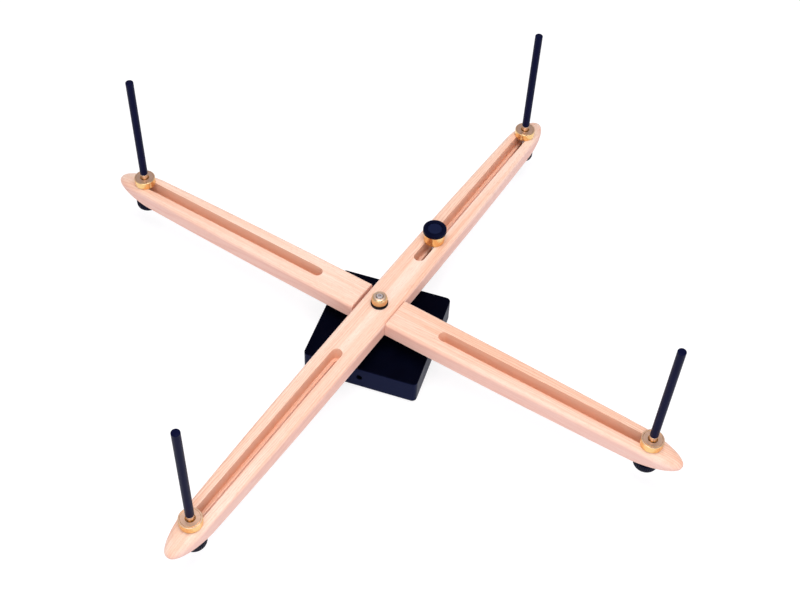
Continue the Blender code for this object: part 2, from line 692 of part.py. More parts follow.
def make_spinner(meshes, rotor_axis):
    """The revolving knob, on a shoulder screw that a fifth clamp knob holds in the slot."""
    spinner_axis = make_axis("spinner_axis", (0, SPINNER_PLACE, 0), 0, rotor_axis)
    top = collar_bottom + SPINNER_COLLAR_HEIGHT
    make_piece("spinner_collar", collar_mesh("spinner_collar", top), "brass", spinner_axis)

    low = top + GAP
    high = low + SPINNER_KNOB_HEIGHT
    cap_top = high - KNOB_DISH_DEPTH
    cap_bottom = cap_top - SPINNER_CAP_THICKNESS
    head_top = cap_bottom - 2 * GAP
    head_bottom = head_top - SPINNER_HEAD_HEIGHT
    recess = KNOB_DISH_RADIUS + GAP
    profile = [
        (recess, high),
        *knob_side(high, low, 1, SPINNER_ROUNDING),
        (SPINNER_SHOULDER_RADIUS + GAP, low),
        (SPINNER_SHOULDER_RADIUS + GAP, head_bottom - GAP),
        (SPINNER_HEAD_RADIUS + GAP, head_bottom - GAP),
        (SPINNER_HEAD_RADIUS + GAP, cap_bottom - GAP),
        (recess, cap_bottom - GAP),
    ]
    knob_axis = make_axis("spinner_knob_axis", parent=spinner_axis)
    knob = turned("spinner_knob", profile, STEPS_FINE)
    make_piece("spinner_knob", knob, "black_plastic", knob_axis)
    cap = cylinder("spinner_cap", KNOB_DISH_RADIUS, cap_bottom, cap_top)
    make_piece("spinner_cap", cap, "black_plastic", knob_axis)

    shoulder = top - FERRULE_SOCKET_DEPTH + GAP
    profile = [
        (0, head_top),
        (SPINNER_HEAD_RADIUS, head_top),
        (SPINNER_HEAD_RADIUS, head_bottom),
        (SPINNER_SHOULDER_RADIUS, head_bottom),
        (SPINNER_SHOULDER_RADIUS, shoulder),
        (STUD_RADIUS, shoulder),
        (STUD_RADIUS, stud_bottom),
        (0, stud_bottom),
    ]
    make_piece("spinner_screw", turned("spinner_screw", profile), "steel", spinner_axis)
    make_clamp(5, meshes, spinner_axis)


def make_drag(base_axis):
    """The screw in the base's side and the pad that it pushes against the bearing sleeve."""
    pad_start = inner_land + GAP
    pad_end = pad_start + DRAG_PAD_LENGTH
    pad_radius = min((sleeve_top - sleeve_bottom) * DRAG_PAD_SHARE, DRAG_SCREW_RADIUS)
    pad = cylinder("drag_pad", pad_radius, pad_start, pad_end, STEPS_SMALL)
    pad_axis = make_axis("drag_pad_axis", parent=base_axis)
    make_piece("drag_pad", aimed_along_y(pad, drag_height), "nylon", pad_axis)

    screw_start = pad_end + GAP
    screw_end = screw_start + DRAG_SCREW_LENGTH
    screw = cylinder("drag_screw", DRAG_SCREW_RADIUS, screw_start, screw_end, STEPS_SMALL)
    screw_axis = make_axis("drag_screw_axis", parent=pad_axis)
    screw = make_piece("drag_screw", aimed_along_y(screw, drag_height), "steel", screw_axis)
    key = hexagon("drag_key_cut", DRAG_KEY_RADIUS, screw_end - DRAG_KEY_DEPTH, screw_end + OVERRUN)
    combine(screw, make_cutter("drag_key_cut", aimed_along_y(key, drag_height), screw_axis))


def main():
    clear_scene()
    base_axis = make_axis("base_axis", turn=BASE_TURN)
    rotor_axis = make_axis("rotor_axis")
    make_base(base_axis)
    make_bearing("lower", lower_bearing, base_axis, rotor_axis)
    make_bearing("upper", upper_bearing, base_axis, rotor_axis)
    make_drag(base_axis)
    make_spindle(rotor_axis)
    make_arms(rotor_axis)
    make_centre_nut(rotor_axis)
    meshes = {
        "rod": rod_mesh(),
        "ferrule": ferrule_mesh(),
        "collar": collar_mesh("peg_collar", collar_top),
        "stud": stud_mesh(),
        "knob": clamp_knob_mesh(),
        "insert": tube(
            "clamp_insert",
            insert_bore,
            INSERT_RADIUS,
            clamp_knob_top - INSERT_LENGTH,
            clamp_knob_top,
            STEPS_SMALL,
        ),
        "washer": tube(
            "clamp_washer",
            insert_bore,
            CLAMP_WASHER_RADIUS,
            clamp_washer_bottom,
            clamp_washer_bottom + CLAMP_WASHER_THICKNESS,
            STEPS_SMALL,
        ),
    }
    for number in range(1, 5):
        make_peg(number, meshes, rotor_axis)
    make_spinner(meshes, rotor_axis)


main()
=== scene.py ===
import math

import bmesh
import bpy
from mathutils import Matrix, Vector


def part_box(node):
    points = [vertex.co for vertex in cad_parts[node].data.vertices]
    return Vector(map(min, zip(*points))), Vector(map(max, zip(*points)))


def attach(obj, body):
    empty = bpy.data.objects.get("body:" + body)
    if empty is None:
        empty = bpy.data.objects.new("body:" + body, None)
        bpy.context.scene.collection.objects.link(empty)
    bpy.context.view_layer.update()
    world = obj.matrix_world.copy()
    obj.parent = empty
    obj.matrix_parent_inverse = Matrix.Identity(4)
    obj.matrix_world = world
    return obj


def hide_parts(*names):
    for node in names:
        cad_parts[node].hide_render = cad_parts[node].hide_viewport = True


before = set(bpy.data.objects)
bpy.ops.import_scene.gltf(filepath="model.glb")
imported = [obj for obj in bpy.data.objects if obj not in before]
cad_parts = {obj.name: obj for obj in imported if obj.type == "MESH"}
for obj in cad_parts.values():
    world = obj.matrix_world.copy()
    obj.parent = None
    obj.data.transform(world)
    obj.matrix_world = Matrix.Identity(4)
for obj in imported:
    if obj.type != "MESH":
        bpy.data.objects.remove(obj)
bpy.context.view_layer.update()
scene = bpy.context.scene
scene.view_settings.view_transform = "Standard"

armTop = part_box("upper_arm")[1].z
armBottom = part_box("upper_arm")[0].z
armMiddle = (armTop + armBottom) / 2
sharpAngle = math.radians(34)
quarterTurn = math.pi / 2
fitGap = 0.0003  # between neighbouring pieces
weldDistance = 0.000002
nearby = 0.0001  # how far off a place an edge still counts as on it
facesDown = -0.99  # the height of a normal, where a face looks down
cutOverrun = 0.004  # how far a cutter runs past a face
print("frame loaded, arms from", round(armBottom, 4), "to", round(armTop, 4))


# Camera, lamps, sky and floor

cameraView = {
    "azimuth": 29.99,  # degrees, from straight in front towards +X
    "elevation": 50.01,
    "roll": 3.26,
    "distance": 1.1746,
    "target": (0.0134, 0.0140),  # on the plane of the arms' top
    "lens": 57.74,
    "near": 0.01,
}


def newObject(name, data):
    item = bpy.data.objects.new(name, data)
    scene.collection.objects.link(item)
    return item


def makeCamera(look):
    azimuth, elevation, roll = (math.radians(look[key]) for key in ("azimuth", "elevation", "roll"))
    level = math.cos(elevation)
    back = Vector((math.sin(azimuth) * level, -math.cos(azimuth) * level, math.sin(elevation)))
    right = Vector((math.cos(azimuth), math.sin(azimuth), 0))
    axes = Matrix((right, back.cross(right), back)).transposed() @ Matrix.Rotation(roll, 3, "Z")
    place = Vector((*look["target"], armTop)) + back * look["distance"]
    data = bpy.data.cameras.new("camera")
    data.lens = look["lens"]
    data.clip_start = look["near"]
    scene.camera = newObject("camera", data)
    scene.camera.matrix_world = Matrix.Translation(place) @ axes.to_4x4()


lampLooks = {
    "overheadLamp": {
        "place": (0.12, -0.15, 1.65), "size": 1.1, "power": 16.8, "color": (1.0, 0.97, 0.97),
    },
    "frontLamp": {
        "place": (0.35, -1.5, 1.1), "size": 1.3, "power": 6.6, "color": (1.0, 0.97, 0.96),
    },
    "rightLamp": {
        "place": (1.6, -0.1, 0.7), "size": 1.0, "power": 3.8, "color": (0.97, 0.96, 1.0),
    },
}


def makeLamp(name, look):
    data = bpy.data.lights.new(name, "AREA")
    data.shape = "DISK"
    data.size = look["size"]
    data.energy = look["power"]
    data.color = look["color"]
    place = Vector(look["place"])
    aim = place.to_track_quat("Z", "Y").to_matrix().to_4x4()
    newObject(name, data).matrix_world = Matrix.Translation(place) @ aim


# Adds a shader node and gives back its outputs
def addNode(tree, kind, inputs=None, **settings):
    node = tree.nodes.new("ShaderNode" + kind)
    for name, value in settings.items():
        setattr(node, name, value)
    for socket, value in (inputs or {}).items():
        if isinstance(value, bpy.types.NodeSocket):
            tree.links.new(value, node.inputs[socket])
        else:
            node.inputs[socket].default_value = value
    return node.outputs


def calc(tree, operation, *values):
    return addNode(tree, "Math", dict(enumerate(values)), operation=operation)[0]


def blendColor(tree, share, first, second, mode="MIX"):
    inputs = {0: share, 6: first, 7: second}
    return addNode(tree, "Mix", inputs, data_type="RGBA", blend_type=mode)[2]


# Maps low to high onto lowest to highest
def rampValue(tree, value, low, high, lowest=0.0, highest=1.0):
    ends = {"From Min": low, "From Max": high, "To Min": lowest, "To Max": highest}
    return addNode(tree, "MapRange", {"Value": value} | ends, clamp=True)[0]


skyLook = {
    "horizon": (0.94, 0.93, 1.0, 1.0),
    "top": (0.42, 0.41, 0.45, 1.0),
    "band": 0.90,  # how far up the pale band reaches, as the sine of its height
    "strength": 0.80,
}


def makeSky(look):
    world = bpy.data.worlds.new("studioSky")
    world.use_nodes = True
    tree = world.node_tree
    tree.nodes.clear()
    way = addNode(tree, "TexCoord")["Generated"]
    height = addNode(tree, "SeparateXYZ", {0: way})["Z"]
    share = rampValue(tree, height, 0.0, look["band"])
    color = blendColor(tree, share, look["horizon"], look["top"])
    light = addNode(tree, "Background", {"Color": color, "Strength": look["strength"]})
    white = addNode(tree, "Background", {"Color": (1, 1, 1, 1), "Strength": 1.0})
    seen = addNode(tree, "LightPath")["Is Camera Ray"]
    both = addNode(tree, "MixShader", {0: seen, 1: light[0], 2: white[0]})
    addNode(tree, "OutputWorld", {"Surface": both[0]})
    scene.world = world


floorLook = {
    "size": 4.0,
    "drop": 0.0003,  # under the pad
    "bounce": (0.80, 0.78, 0.86, 1.0),
    "glow": 0.80,  # the part of the floor's white that keeps no shadow
    "shade": (0.30, 0.30, 0.31, 1.0),
}


def makeFloor(look):
    bm = bmesh.new()
    bmesh.ops.create_grid(bm, x_segments=1, y_segments=1, size=look["size"] / 2)
    bm.transform(Matrix.Translation((0, 0, -look["drop"])))
    mesh = bpy.data.meshes.new("floor")
    bm.to_mesh(mesh)
    bm.free()
    floor = newObject("floor", mesh)
    material = bpy.data.materials.new("paleFloor")
    material.use_nodes = True
    tree = material.node_tree
    tree.nodes.clear()
    path = addNode(tree, "LightPath")
    seen = calc(tree, "MAXIMUM", path["Is Camera Ray"], path["Is Glossy Ray"])
    seen = calc(tree, "MAXIMUM", seen, path["Is Transmission Ray"])
    bounce = addNode(tree, "BsdfDiffuse", {"Color": look["bounce"]})[0]
    shade = addNode(tree, "BsdfDiffuse", {"Color": look["shade"]})[0]
    glow = addNode(tree, "Emission", {"Color": (1, 1, 1, 1), "Strength": look["glow"]})
    white = addNode(tree, "AddShader", {0: shade, 1: glow[0]})[0]
    both = addNode(tree, "MixShader", {0: seen, 1: bounce, 2: white})[0]
    under = addNode(tree, "NewGeometry")["Backfacing"]
    clear = addNode(tree, "BsdfTransparent")[0]
    both = addNode(tree, "MixShader", {0: under, 1: both, 2: clear})[0]
    addNode(tree, "OutputMaterial", {"Surface": both})
    mesh.materials.append(material)


makeCamera(cameraView)
for name, look in lampLooks.items():
    makeLamp(name, look)
makeSky(skyLook)
makeFloor(floorLook)
print("camera, lamps, sky and floor made")


# Shader groups that several finishes share

def startGroup(name, inputs, outputs):
    group = bpy.data.node_groups.new(name, "ShaderNodeTree")
    for way, sockets in (("INPUT", inputs), ("OUTPUT", outputs)):
        for label, kind in sockets.items():
            group.interface.new_socket(name=label, in_out=way, socket_type="NodeSocket" + kind)
    return group, group.nodes.new("NodeGroupInput").outputs, group.nodes.new("NodeGroupOutput")


def finishGroup(group, ends, values):
    for label, socket in values.items():
        group.links.new(socket, ends.inputs[label])
    return group


def noise(tree, vector, **settings):
    named = {label.capitalize(): value for label, value in settings.items()}
    return addNode(tree, "TexNoise", {"Vector": vector, "Scale": 1.0} | named)["Fac"]


# Noise with so many cells a metre along X, Y and Z
def cellNoise(tree, vector, cells, shift=(0, 0, 0), **settings):
    inputs = {"Vector": vector, "Scale": cells, "Location": shift}
    return noise(tree, addNode(tree, "Mapping", inputs)[0], **settings)


# How much a face looks up or down, from 0 to 1
def levelness(tree):
    normal = addNode(tree, "TexCoord")["Normal"]
    rise = addNode(tree, "SeparateXYZ", {0: normal})["Z"]
    return calc(tree, "ABSOLUTE", rise)


grainLook = {
    "waver": {"cells": (9, 60, 60), "detail": 1.0},
    "bands": {"cells": (5, 210, 150), "detail": 3.0, "distortion": 0.35},
    "broad": {"cells": (2.2, 55, 40), "shift": (3, 1, 2), "detail": 1.5},
    "fibres": {"cells": (110, 3800, 3800), "detail": 3.0, "roughness": 0.65},
    "flecks": {"cells": (260, 2300, 2300), "shift": (5, 2, 7), "detail": 1.0},
    "bandShare": 0.6,  # against the broad bands
    "toneReach": (0.39, 0.61),
    "linesAcross": 430,  # growth lines a metre
    "linesUp": 160,
    "lineDrift": 5.0,
    "lineReach": (0.55, 1.0),
    "lineFade": (0.35, 0.6),  # by the broad bands
    "lineShare": 0.88,
    "fleckReach": (0.63, 0.74),
    "fleckShare": 0.5,
    "fleckDepth": 0.6,
    "fibreReach": (0.42, 0.75, 0.0, 0.70),
    "glossReach": (0.3, 0.7, 0.42, 0.56),
    "specular": 0.32,
    # how much of the side colour upright faces take: painted shade on the wood
    "sideShare": 0.55,  # of the plain colour, on upright faces
    "depth": 0.00003,
}


# Grain that runs along local X: broad bands, growth lines and short fibres
def makeGrainGroup(look):
    inputs = {"Vector": "Vector", "Strength": "Float"}
    inputs |= {"Pale": "Color", "Warm": "Color", "Line": "Color"}
    outputs = {"Color": "Color", "Height": "Float", "Gloss": "Float"}
    group, given, ends = startGroup("lengthwiseGrain", inputs, outputs)

    def times(value, share):
        return calc(group, "MULTIPLY", value, share)

    def plus(first, second):
        return calc(group, "ADD", first, second)

    kinds = ("waver", "bands", "broad", "fibres", "flecks")
    waver, bands, broad, fibres, flecks = (
        cellNoise(group, given["Vector"], **look[kind]) for kind in kinds
    )
    tone = plus(times(bands, look["bandShare"]), times(broad, 1 - look["bandShare"]))
    tone = rampValue(group, tone, *look["toneReach"])
    color = blendColor(group, tone, given["Pale"], given["Warm"])

    axes = addNode(group, "SeparateXYZ", {0: given["Vector"]})
    across = plus(times(axes["Y"], look["linesAcross"]), times(axes["Z"], look["linesUp"]))
    rings = calc(group, "FRACT", plus(across, times(waver, look["lineDrift"])))
    lines = rampValue(group, rings, *look["lineReach"])
    lines = times(lines, rampValue(group, broad, *look["lineFade"]))

    flecks = rampValue(group, flecks, *look["fleckReach"])
    marks = plus(times(lines, look["lineShare"]), times(flecks, look["fleckShare"]))
    marks = plus(marks, rampValue(group, fibres, *look["fibreReach"]))
    color = blendColor(group, times(marks, given["Strength"]), color, given["Line"])
    height = calc(group, "SUBTRACT", fibres, times(flecks, look["fleckDepth"]))
    gloss = rampValue(group, fibres, *look["glossReach"])
    return finishGroup(group, ends, {"Color": color, "Height": height, "Gloss": gloss})


latheLook = {
    "rings": {"detail": 3.0, "roughness": 0.7},
    "fans": {"scale": 2.6, "detail": 4.0, "roughness": 0.62},
    "levelRamp": (0.75, 0.97),
    "ringCount": 5200.0,  # a metre
    "fanReach": (0.36, 0.70, 0.0, 0.34),
    "ringReach": (0.50, 0.80, 0.0, 0.20),
    "sheenReach": (0.3, 0.7),
    "depth": 0.000004,
}


# What a lathe leaves: fine rings round local Z, and fans of brighter and darker metal. It also
# gives how level a face is, which the metals use for a painted reflection on their tops.
def makeLatheGroup(look):
    inputs = {"Vector": "Vector", "Rings": "Float"}
    outputs = {"Fans": "Float", "Rings": "Float", "Facing": "Float"}
    group, given, ends = startGroup("latheMarks", inputs, outputs)
    axes = addNode(group, "SeparateXYZ", {0: given["Vector"]})
    flat = addNode(group, "CombineXYZ", {0: axes["X"], 1: axes["Y"]})[0]
    radius = addNode(group, "VectorMath", {0: flat}, operation="LENGTH")["Value"]
    along = calc(group, "SUBTRACT", radius, axes["Z"])
    along = calc(group, "MULTIPLY", along, given["Rings"])
    place = addNode(group, "CombineXYZ", {0: along})[0]
    unit = addNode(group, "VectorMath", {0: flat}, operation="NORMALIZE")[0]
    return finishGroup(group, ends, {
        "Fans": noise(group, unit, **look["fans"]),
        "Rings": noise(group, place, **look["rings"]),
        "Facing": rampValue(group, levelness(group), *look["levelRamp"]),
    })


unevenLook = {
    "tone": {"scale": 38.0, "detail": 3.0},
    "peel": {"scale": 2100.0},
    "patches": {"scale": 70.0},
    "patchReach": (0.52, 0.62),
    "specks": 260.0,  # a metre
    "speckReach": (0.05, 0.09, 1.0, 0.0),
    "toneReach": (0.35, 0.65, 0.0, 0.5),
    "sheenReach": (0.3, 0.7),
    # how much of the side colour upright faces take: painted reflection of the pale room on the
    # base's sides
    "sideShare": 0.9,
    "depth": 0.00001,
}


# Unevenness of a coat: a slow change of tone, a fine peel and a few specks of dust
def makeCoatGroup(look):
    inputs = {"Vector": "Vector", "Peel": "Float", "Dust": "Float"}
    outputs = {"Tone": "Float", "Peel": "Float", "Dust": "Float"}
    group, given, ends = startGroup("coatUnevenness", inputs, outputs)
    tone, peel, patches = (
        noise(group, given["Vector"], **look[kind]) for kind in ("tone", "peel", "patches")
    )
    cells = {"Vector": given["Vector"], "Scale": look["specks"]}
    cells = addNode(group, "TexVoronoi", cells)["Distance"]
    specks = rampValue(group, cells, *look["speckReach"])
    specks = calc(group, "MULTIPLY", specks, rampValue(group, patches, *look["patchReach"]))
    return finishGroup(group, ends, {
        "Tone": tone,
        "Peel": calc(group, "MULTIPLY", peel, given["Peel"]),
        "Dust": calc(group, "MULTIPLY", specks, given["Dust"]),
    })


grainGroup = makeGrainGroup(grainLook)
latheGroup = makeLatheGroup(latheLook)
coatGroup = makeCoatGroup(unevenLook)


def startMaterial(name, settings):
    material = bpy.data.materials.new(name)
    material.use_nodes = True
    tree = material.node_tree
    shader = tree.nodes["Principled BSDF"]
    for label, value in settings.items():
        shader.inputs[label].default_value = value
    local = addNode(tree, "Attribute", attribute_name="local")["Vector"]
    return material, tree, shader, local


# Links a finish's colour, roughness and bump to its shader
def setShader(tree, shader, color, roughness, height, depth):
    bump = addNode(tree, "Bump", {"Height": height, "Distance": depth, "Strength": 0.5})[0]
    sockets = {"Base Color": color, "Roughness": roughness, "Normal": bump}
    for label, socket in sockets.items():
        tree.links.new(socket, shader.inputs[label])


# The given share on upright faces, and none on level ones. It masks painted light: the side colours
# stand in for shade on the wood's sides and for reflection on the base's sides.
def paintedSideLightMask(tree, most):
    return rampValue(tree, levelness(tree), 0.05, 0.85, most, 0.0)


woodLooks = {
    "oiledMaple": {
        "pale": (0.98, 0.765, 0.620, 1), "warm": (0.93, 0.565, 0.395, 1),
        "line": (0.74, 0.365, 0.225, 1), "strength": 0.74,
        # side is painted shade: pinker and darker on upright faces, where less light falls
        "side": (0.86, 0.530, 0.450, 1),  # on upright faces
    },
    # painted shade and warm bounce light for the walls of the grooves and the bore, more orange
    # than the oiled top
    "grooveShadeMaple": {
        "pale": (0.97, 0.690, 0.520, 1), "warm": (0.95, 0.600, 0.420, 1),
        "line": (0.80, 0.420, 0.270, 1), "strength": 0.45,
        "side": (0.97, 0.610, 0.440, 1),
    },
}


def makeWood(name, look, marks):
    settings = {"Specular IOR Level": marks["specular"]}
    material, tree, shader, local = startMaterial(name, settings)
    colors = {key.capitalize(): look[key] for key in ("pale", "warm", "line", "strength")}
    grain = addNode(tree, "Group", {"Vector": local} | colors, node_tree=grainGroup)
    # Upright faces take the side colour, which is painted shade
    upright = paintedSideLightMask(tree, marks["sideShare"])
    color = blendColor(tree, upright, grain["Color"], look["side"])
    setShader(tree, shader, color, grain["Gloss"], grain["Height"], marks["depth"])
    return material


metalLooks = {
    # face is the colour on level faces: painted reflection of the pale room, paler and greyer than
    # the sides
    "polishedBrass": {
        "side": (0.86, 0.57, 0.240, 1), "face": (0.82, 0.545, 0.395, 1),
        "dark": (0.50, 0.33, 0.21, 1), "gloss": (0.18, 0.32),
        "faceGloss": 0.16,  # added on the turned faces
    },
    "spunBrass": {
        "side": (0.76, 0.50, 0.255, 1), "face": (0.80, 0.600, 0.470, 1),
        "dark": (0.50, 0.33, 0.22, 1), "gloss": (0.30, 0.42), "faceGloss": 0.10,
    },
    "paleBrass": {
        "side": (0.74, 0.56, 0.410, 1), "face": (0.76, 0.600, 0.480, 1),
        "dark": (0.30, 0.18, 0.11, 1), "gloss": (0.14, 0.26), "faceGloss": 0.10,
    },
    "turnedSteel": {
        "side": (0.62, 0.60, 0.58, 1), "face": (0.72, 0.64, 0.63, 1),
        "dark": (0.40, 0.36, 0.36, 1), "gloss": (0.28, 0.42), "faceGloss": 0.16,
    },
    "groundSteel": {
        "side": (0.60, 0.60, 0.62, 1), "face": (0.56, 0.56, 0.58, 1),
        "dark": (0.36, 0.36, 0.38, 1), "gloss": (0.12, 0.24), "faceGloss": 0.05,
    },
}


def makeMetal(name, look, marks):
    material, tree, shader, local = startMaterial(name, {"Metallic": 1.0})
    lathe = {"Vector": local, "Rings": marks["ringCount"]}
    lathe = addNode(tree, "Group", lathe, node_tree=latheGroup)
    # Level faces take the face colour, which is painted reflection
    color = blendColor(tree, lathe["Facing"], look["side"], look["face"])
    fans = rampValue(tree, lathe["Fans"], *marks["fanReach"])
    color = blendColor(tree, calc(tree, "MULTIPLY", fans, lathe["Facing"]), color, look["dark"])
    rings = rampValue(tree, lathe["Rings"], *marks["ringReach"])
    color = blendColor(tree, rings, color, look["dark"])
    sheen = rampValue(tree, lathe["Rings"], *marks["sheenReach"], *look["gloss"])
    onFace = calc(tree, "MULTIPLY", lathe["Facing"], look["faceGloss"])
    sheen = calc(tree, "ADD", sheen, onFace)
    setShader(tree, shader, color, sheen, lathe["Rings"], marks["depth"])
    return material


coatLooks = {
    "satinLacquer": {
        "color": (0.0004, 0.0006, 0.0036, 1), "worn": (0.001, 0.002, 0.008, 1), "dust": 0.3,
        "specular": 0.03, "tint": (0.45, 0.52, 1.0, 1), "gloss": (0.30, 0.42), "peel": 0.4,
        # side is painted reflection: lighter and bluer on the base's upright faces
        "side": (0.0055, 0.0092, 0.0360, 1),
    },
    "blueBlackCoat": {
        "color": (0.0026, 0.0036, 0.0215, 1), "worn": (0.005, 0.007, 0.034, 1), "dust": 0.2,
        "specular": 0.07, "tint": (0.45, 0.48, 1.0, 1), "gloss": (0.34, 0.46), "peel": 0.5,
    },
    "knobPlastic": {
        "color": (0.0018, 0.0026, 0.0130, 1), "worn": (0.005, 0.007, 0.026, 1), "dust": 0.3,
        "specular": 0.04, "tint": (0.45, 0.50, 1.0, 1), "gloss": (0.36, 0.50), "peel": 1.0,
    },
    "capPlastic": {
        "color": (0.0036, 0.0072, 0.0310, 1), "worn": (0.007, 0.011, 0.044, 1), "dust": 0.2,
        "specular": 0.16, "tint": (0.50, 0.55, 1.0, 1), "gloss": (0.32, 0.46), "peel": 0.8,
    },
    "blackFibre": {
        "color": (0.0030, 0.0030, 0.0050, 1), "worn": (0.014, 0.013, 0.015, 1), "dust": 0.5,
        "specular": 0.12, "tint": (0.80, 0.80, 1.0, 1), "gloss": (0.55, 0.70), "peel": 1.0,
    },
    "softRubber": {
        "color": (0.0090, 0.0090, 0.0120, 1), "worn": (0.024, 0.024, 0.027, 1), "dust": 0.9,
        "specular": 0.18, "tint": (0.90, 0.90, 1.0, 1), "gloss": (0.70, 0.85), "peel": 1.0,
    },
    "paleNylon": {
        "color": (0.7300, 0.7200, 0.6700, 1), "worn": (0.600, 0.580, 0.520, 1), "dust": 0.2,
        "specular": 0.45, "tint": (1.0, 1.0, 1.0, 1), "gloss": (0.35, 0.50), "peel": 0.5,
    },
}


def makeCoat(name, look, marks):
    settings = {"Specular IOR Level": look["specular"], "Specular Tint": look["tint"]}
    material, tree, shader, local = startMaterial(name, settings)
    coat = {"Vector": local, "Peel": look["peel"], "Dust": look["dust"]}
    coat = addNode(tree, "Group", coat, node_tree=coatGroup)
    tone = rampValue(tree, coat["Tone"], *marks["toneReach"])
    tone = calc(tree, "MAXIMUM", tone, coat["Dust"])
    color = blendColor(tree, tone, look["color"], look["worn"])
    # Upright faces take the side colour, which is painted reflection
    if "side" in look:
        color = blendColor(tree, paintedSideLightMask(tree, marks["sideShare"]), color, look["side"])
    sheen = rampValue(tree, coat["Tone"], *marks["sheenReach"], *look["gloss"])
    setShader(tree, shader, color, sheen, coat["Peel"], marks["depth"])
    return material


finishes = {name: makeWood(name, look, grainLook) for name, look in woodLooks.items()}
finishes |= {name: makeMetal(name, look, latheLook) for name, look in metalLooks.items()}
finishes |= {name: makeCoat(name, look, unevenLook) for name, look in coatLooks.items()}
print("finishes made:", len(finishes))


# Making of meshes

# Spins a profile round Z. An opening is an angle that it leaves out, with the ends unclosed.
def turned(profile, steps, opening=0):
    bm = bmesh.new()
    points = [bm.verts.new((radius, 0, height)) for radius, height in profile]
    if profile[0][0] > 0:
        points.append(points[0])
    edges = [bm.edges.new(pair) for pair in zip(points, points[1:])]
    bmesh.ops.spin(
        bm, geom=[*bm.verts, *edges], axis=(0, 0, 1), cent=(0, 0, 0),
        angle=2 * math.pi - opening, steps=steps, use_merge=not opening,
    )
    return cleaned(bm)


def plainRod(radius, low, high, steps):
    return turned([(0, high), (radius, high), (radius, low), (0, low)], steps)


def cleaned(bm):
    bmesh.ops.remove_doubles(bm, verts=bm.verts, dist=weldDistance)
    bmesh.ops.recalc_face_normals(bm, faces=bm.faces)
    return bm


def soften(bm, edges, width, segments=2):
    bmesh.ops.bevel(
        bm, geom=list(edges), offset=width, offset_type="OFFSET", segments=segments,
        profile=0.5, affect="EDGES", material=-1, clamp_overlap=True,
    )
    return bm


def sharpEdges(bm, angle=sharpAngle):
    return [edge for edge in bm.edges if edge.calc_face_angle(0) > angle]


def arcPoints(centre, radius, start, end, count):
    angles = [math.radians(start + (end - start) * step / count) for step in range(count + 1)]
    return [(centre[0] + radius * math.cos(a), centre[1] + radius * math.sin(a)) for a in angles]


def prism(outline, low, high):
    bm = bmesh.new()
    face = bm.faces.new([bm.verts.new((x, y, low)) for x, y in outline])
    drawn = bmesh.ops.extrude_face_region(bm, geom=[face])["geom"]
    raised = [item for item in drawn if isinstance(item, bmesh.types.BMVert)]
    bmesh.ops.translate(bm, verts=raised, vec=(0, 0, high - low))
    return cleaned(bm)


def boxShape(size, centre):
    bm = bmesh.new()
    place = Matrix.Translation(centre) @ Matrix.Diagonal((*size, 1))
    bmesh.ops.create_cube(bm, size=1, matrix=place)
    return bm


def meshOf(bm, name, *coats):
    mesh = bpy.data.meshes.new(name)
    bm.to_mesh(mesh)
    bm.free()
    for coat in coats:
        mesh.materials.append(finishes[coat])
    return mesh


# Cuts a shape by others with exact Booleans. Each cutter is a bmesh followed by the names of its
# finishes, which the cut faces take. Gives back a bmesh and the names of its finishes.
def carved(bm, finish, cutters):
    piece = newObject("blank", meshOf(bm, "blank", finish))
    tools = [newObject("tool", meshOf(cutter, "tool", *coats)) for cutter, *coats in cutters]
    for tool in tools:
        modifier = piece.modifiers.new("cut", "BOOLEAN")
        modifier.operation = "DIFFERENCE"
        modifier.solver = "EXACT"
        modifier.material_mode = "TRANSFER"
        modifier.object = tool
    bpy.context.view_layer.update()
    evaluated = piece.evaluated_get(bpy.context.evaluated_depsgraph_get())
    mesh = bpy.data.meshes.new_from_object(evaluated)
    coats = [material.name for material in mesh.materials]
    result = bmesh.new()
    result.from_mesh(mesh)
    for item in [piece, *tools]:
        bpy.data.objects.remove(item, do_unlink=True)
    bpy.data.meshes.remove(mesh)
    return cleaned(result), coats


# Puts a finished shape in its place, as the piece that stands for the CAD node of its name. Its
# shape before it was placed is kept in the attribute "local", which its finish reads.
def addPiece(name, bm, coats, body, slot, place=(0, 0, 0), turn=0.0, shift=(0, 0, 0), lay=None):
    mesh = meshOf(bm, name, *coats)
    local = mesh.attributes.new("local", "FLOAT_VECTOR", "POINT")
    for vertex, value in zip(mesh.vertices, local.data):
        value.vector = vertex.co + Vector(shift)
    if lay:
        mesh.transform(lay)
    mesh.transform(Matrix.Translation(place) @ Matrix.Rotation(turn, 4, "Z"))
    mesh.shade_smooth()
    mesh.set_sharp_from_angle(angle=sharpAngle)
    piece = newObject(name, mesh)
    weighted = piece.modifiers.new("weighted", "WEIGHTED_NORMAL")
    weighted.keep_sharp = True
    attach(piece, body)
    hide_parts(name)


# Arms

armLook = {
    "width": 0.0342,
    "endShare": 0.725,  # of the width, to which the bowed sides would come at the very end
    "bowPower": 2.4,
    "bowSteps": 24,
    "edge": 0.0038,  # rounding of the long edges
    "edgeSteps": 7,
    "tip": 0.040,  # length of the rounded tip
    "tipPower": 2.3,
    "tipDropPower": 2.6,
    "tipSteps": 22,
    "slotStart": 0.06925,
    "slotEnd": 0.27575,
    "grooveWidth": 0.0105,
    "neckWidth": 0.0046,
    "floor": 0.0050,
    "slotSteps": 16,
    "rim": 0.00045,  # easing of the groove's edges
    "rimSteps": 3,
    "rimReach": 0.0008,  # how far under the top an edge still belongs to the rim
    "neckRim": 0.0002,
    "bore": 0.0043,
    "boreSteps": 48,
    "lapOpen": 0.0018,  # play on the -X side of the lower arm's notch
    "lapEdge": 0.0014,
    "lapSteps": 8,
    "grainShift": (2.3, 0.41, 0.17),  # so that the two arms don't share one grain
}


# Where a coordinate of the plain bar goes once the bar's half size and rounding have changed
def reshaped(value, half, edge, newHalf, newEdge):
    size = abs(value)
    if size > half - edge:
        size = newHalf - newEdge + newEdge * (size - half + edge) / edge
    else:
        size = size * (newHalf - newEdge) / (half - edge)
    return math.copysign(size, value)


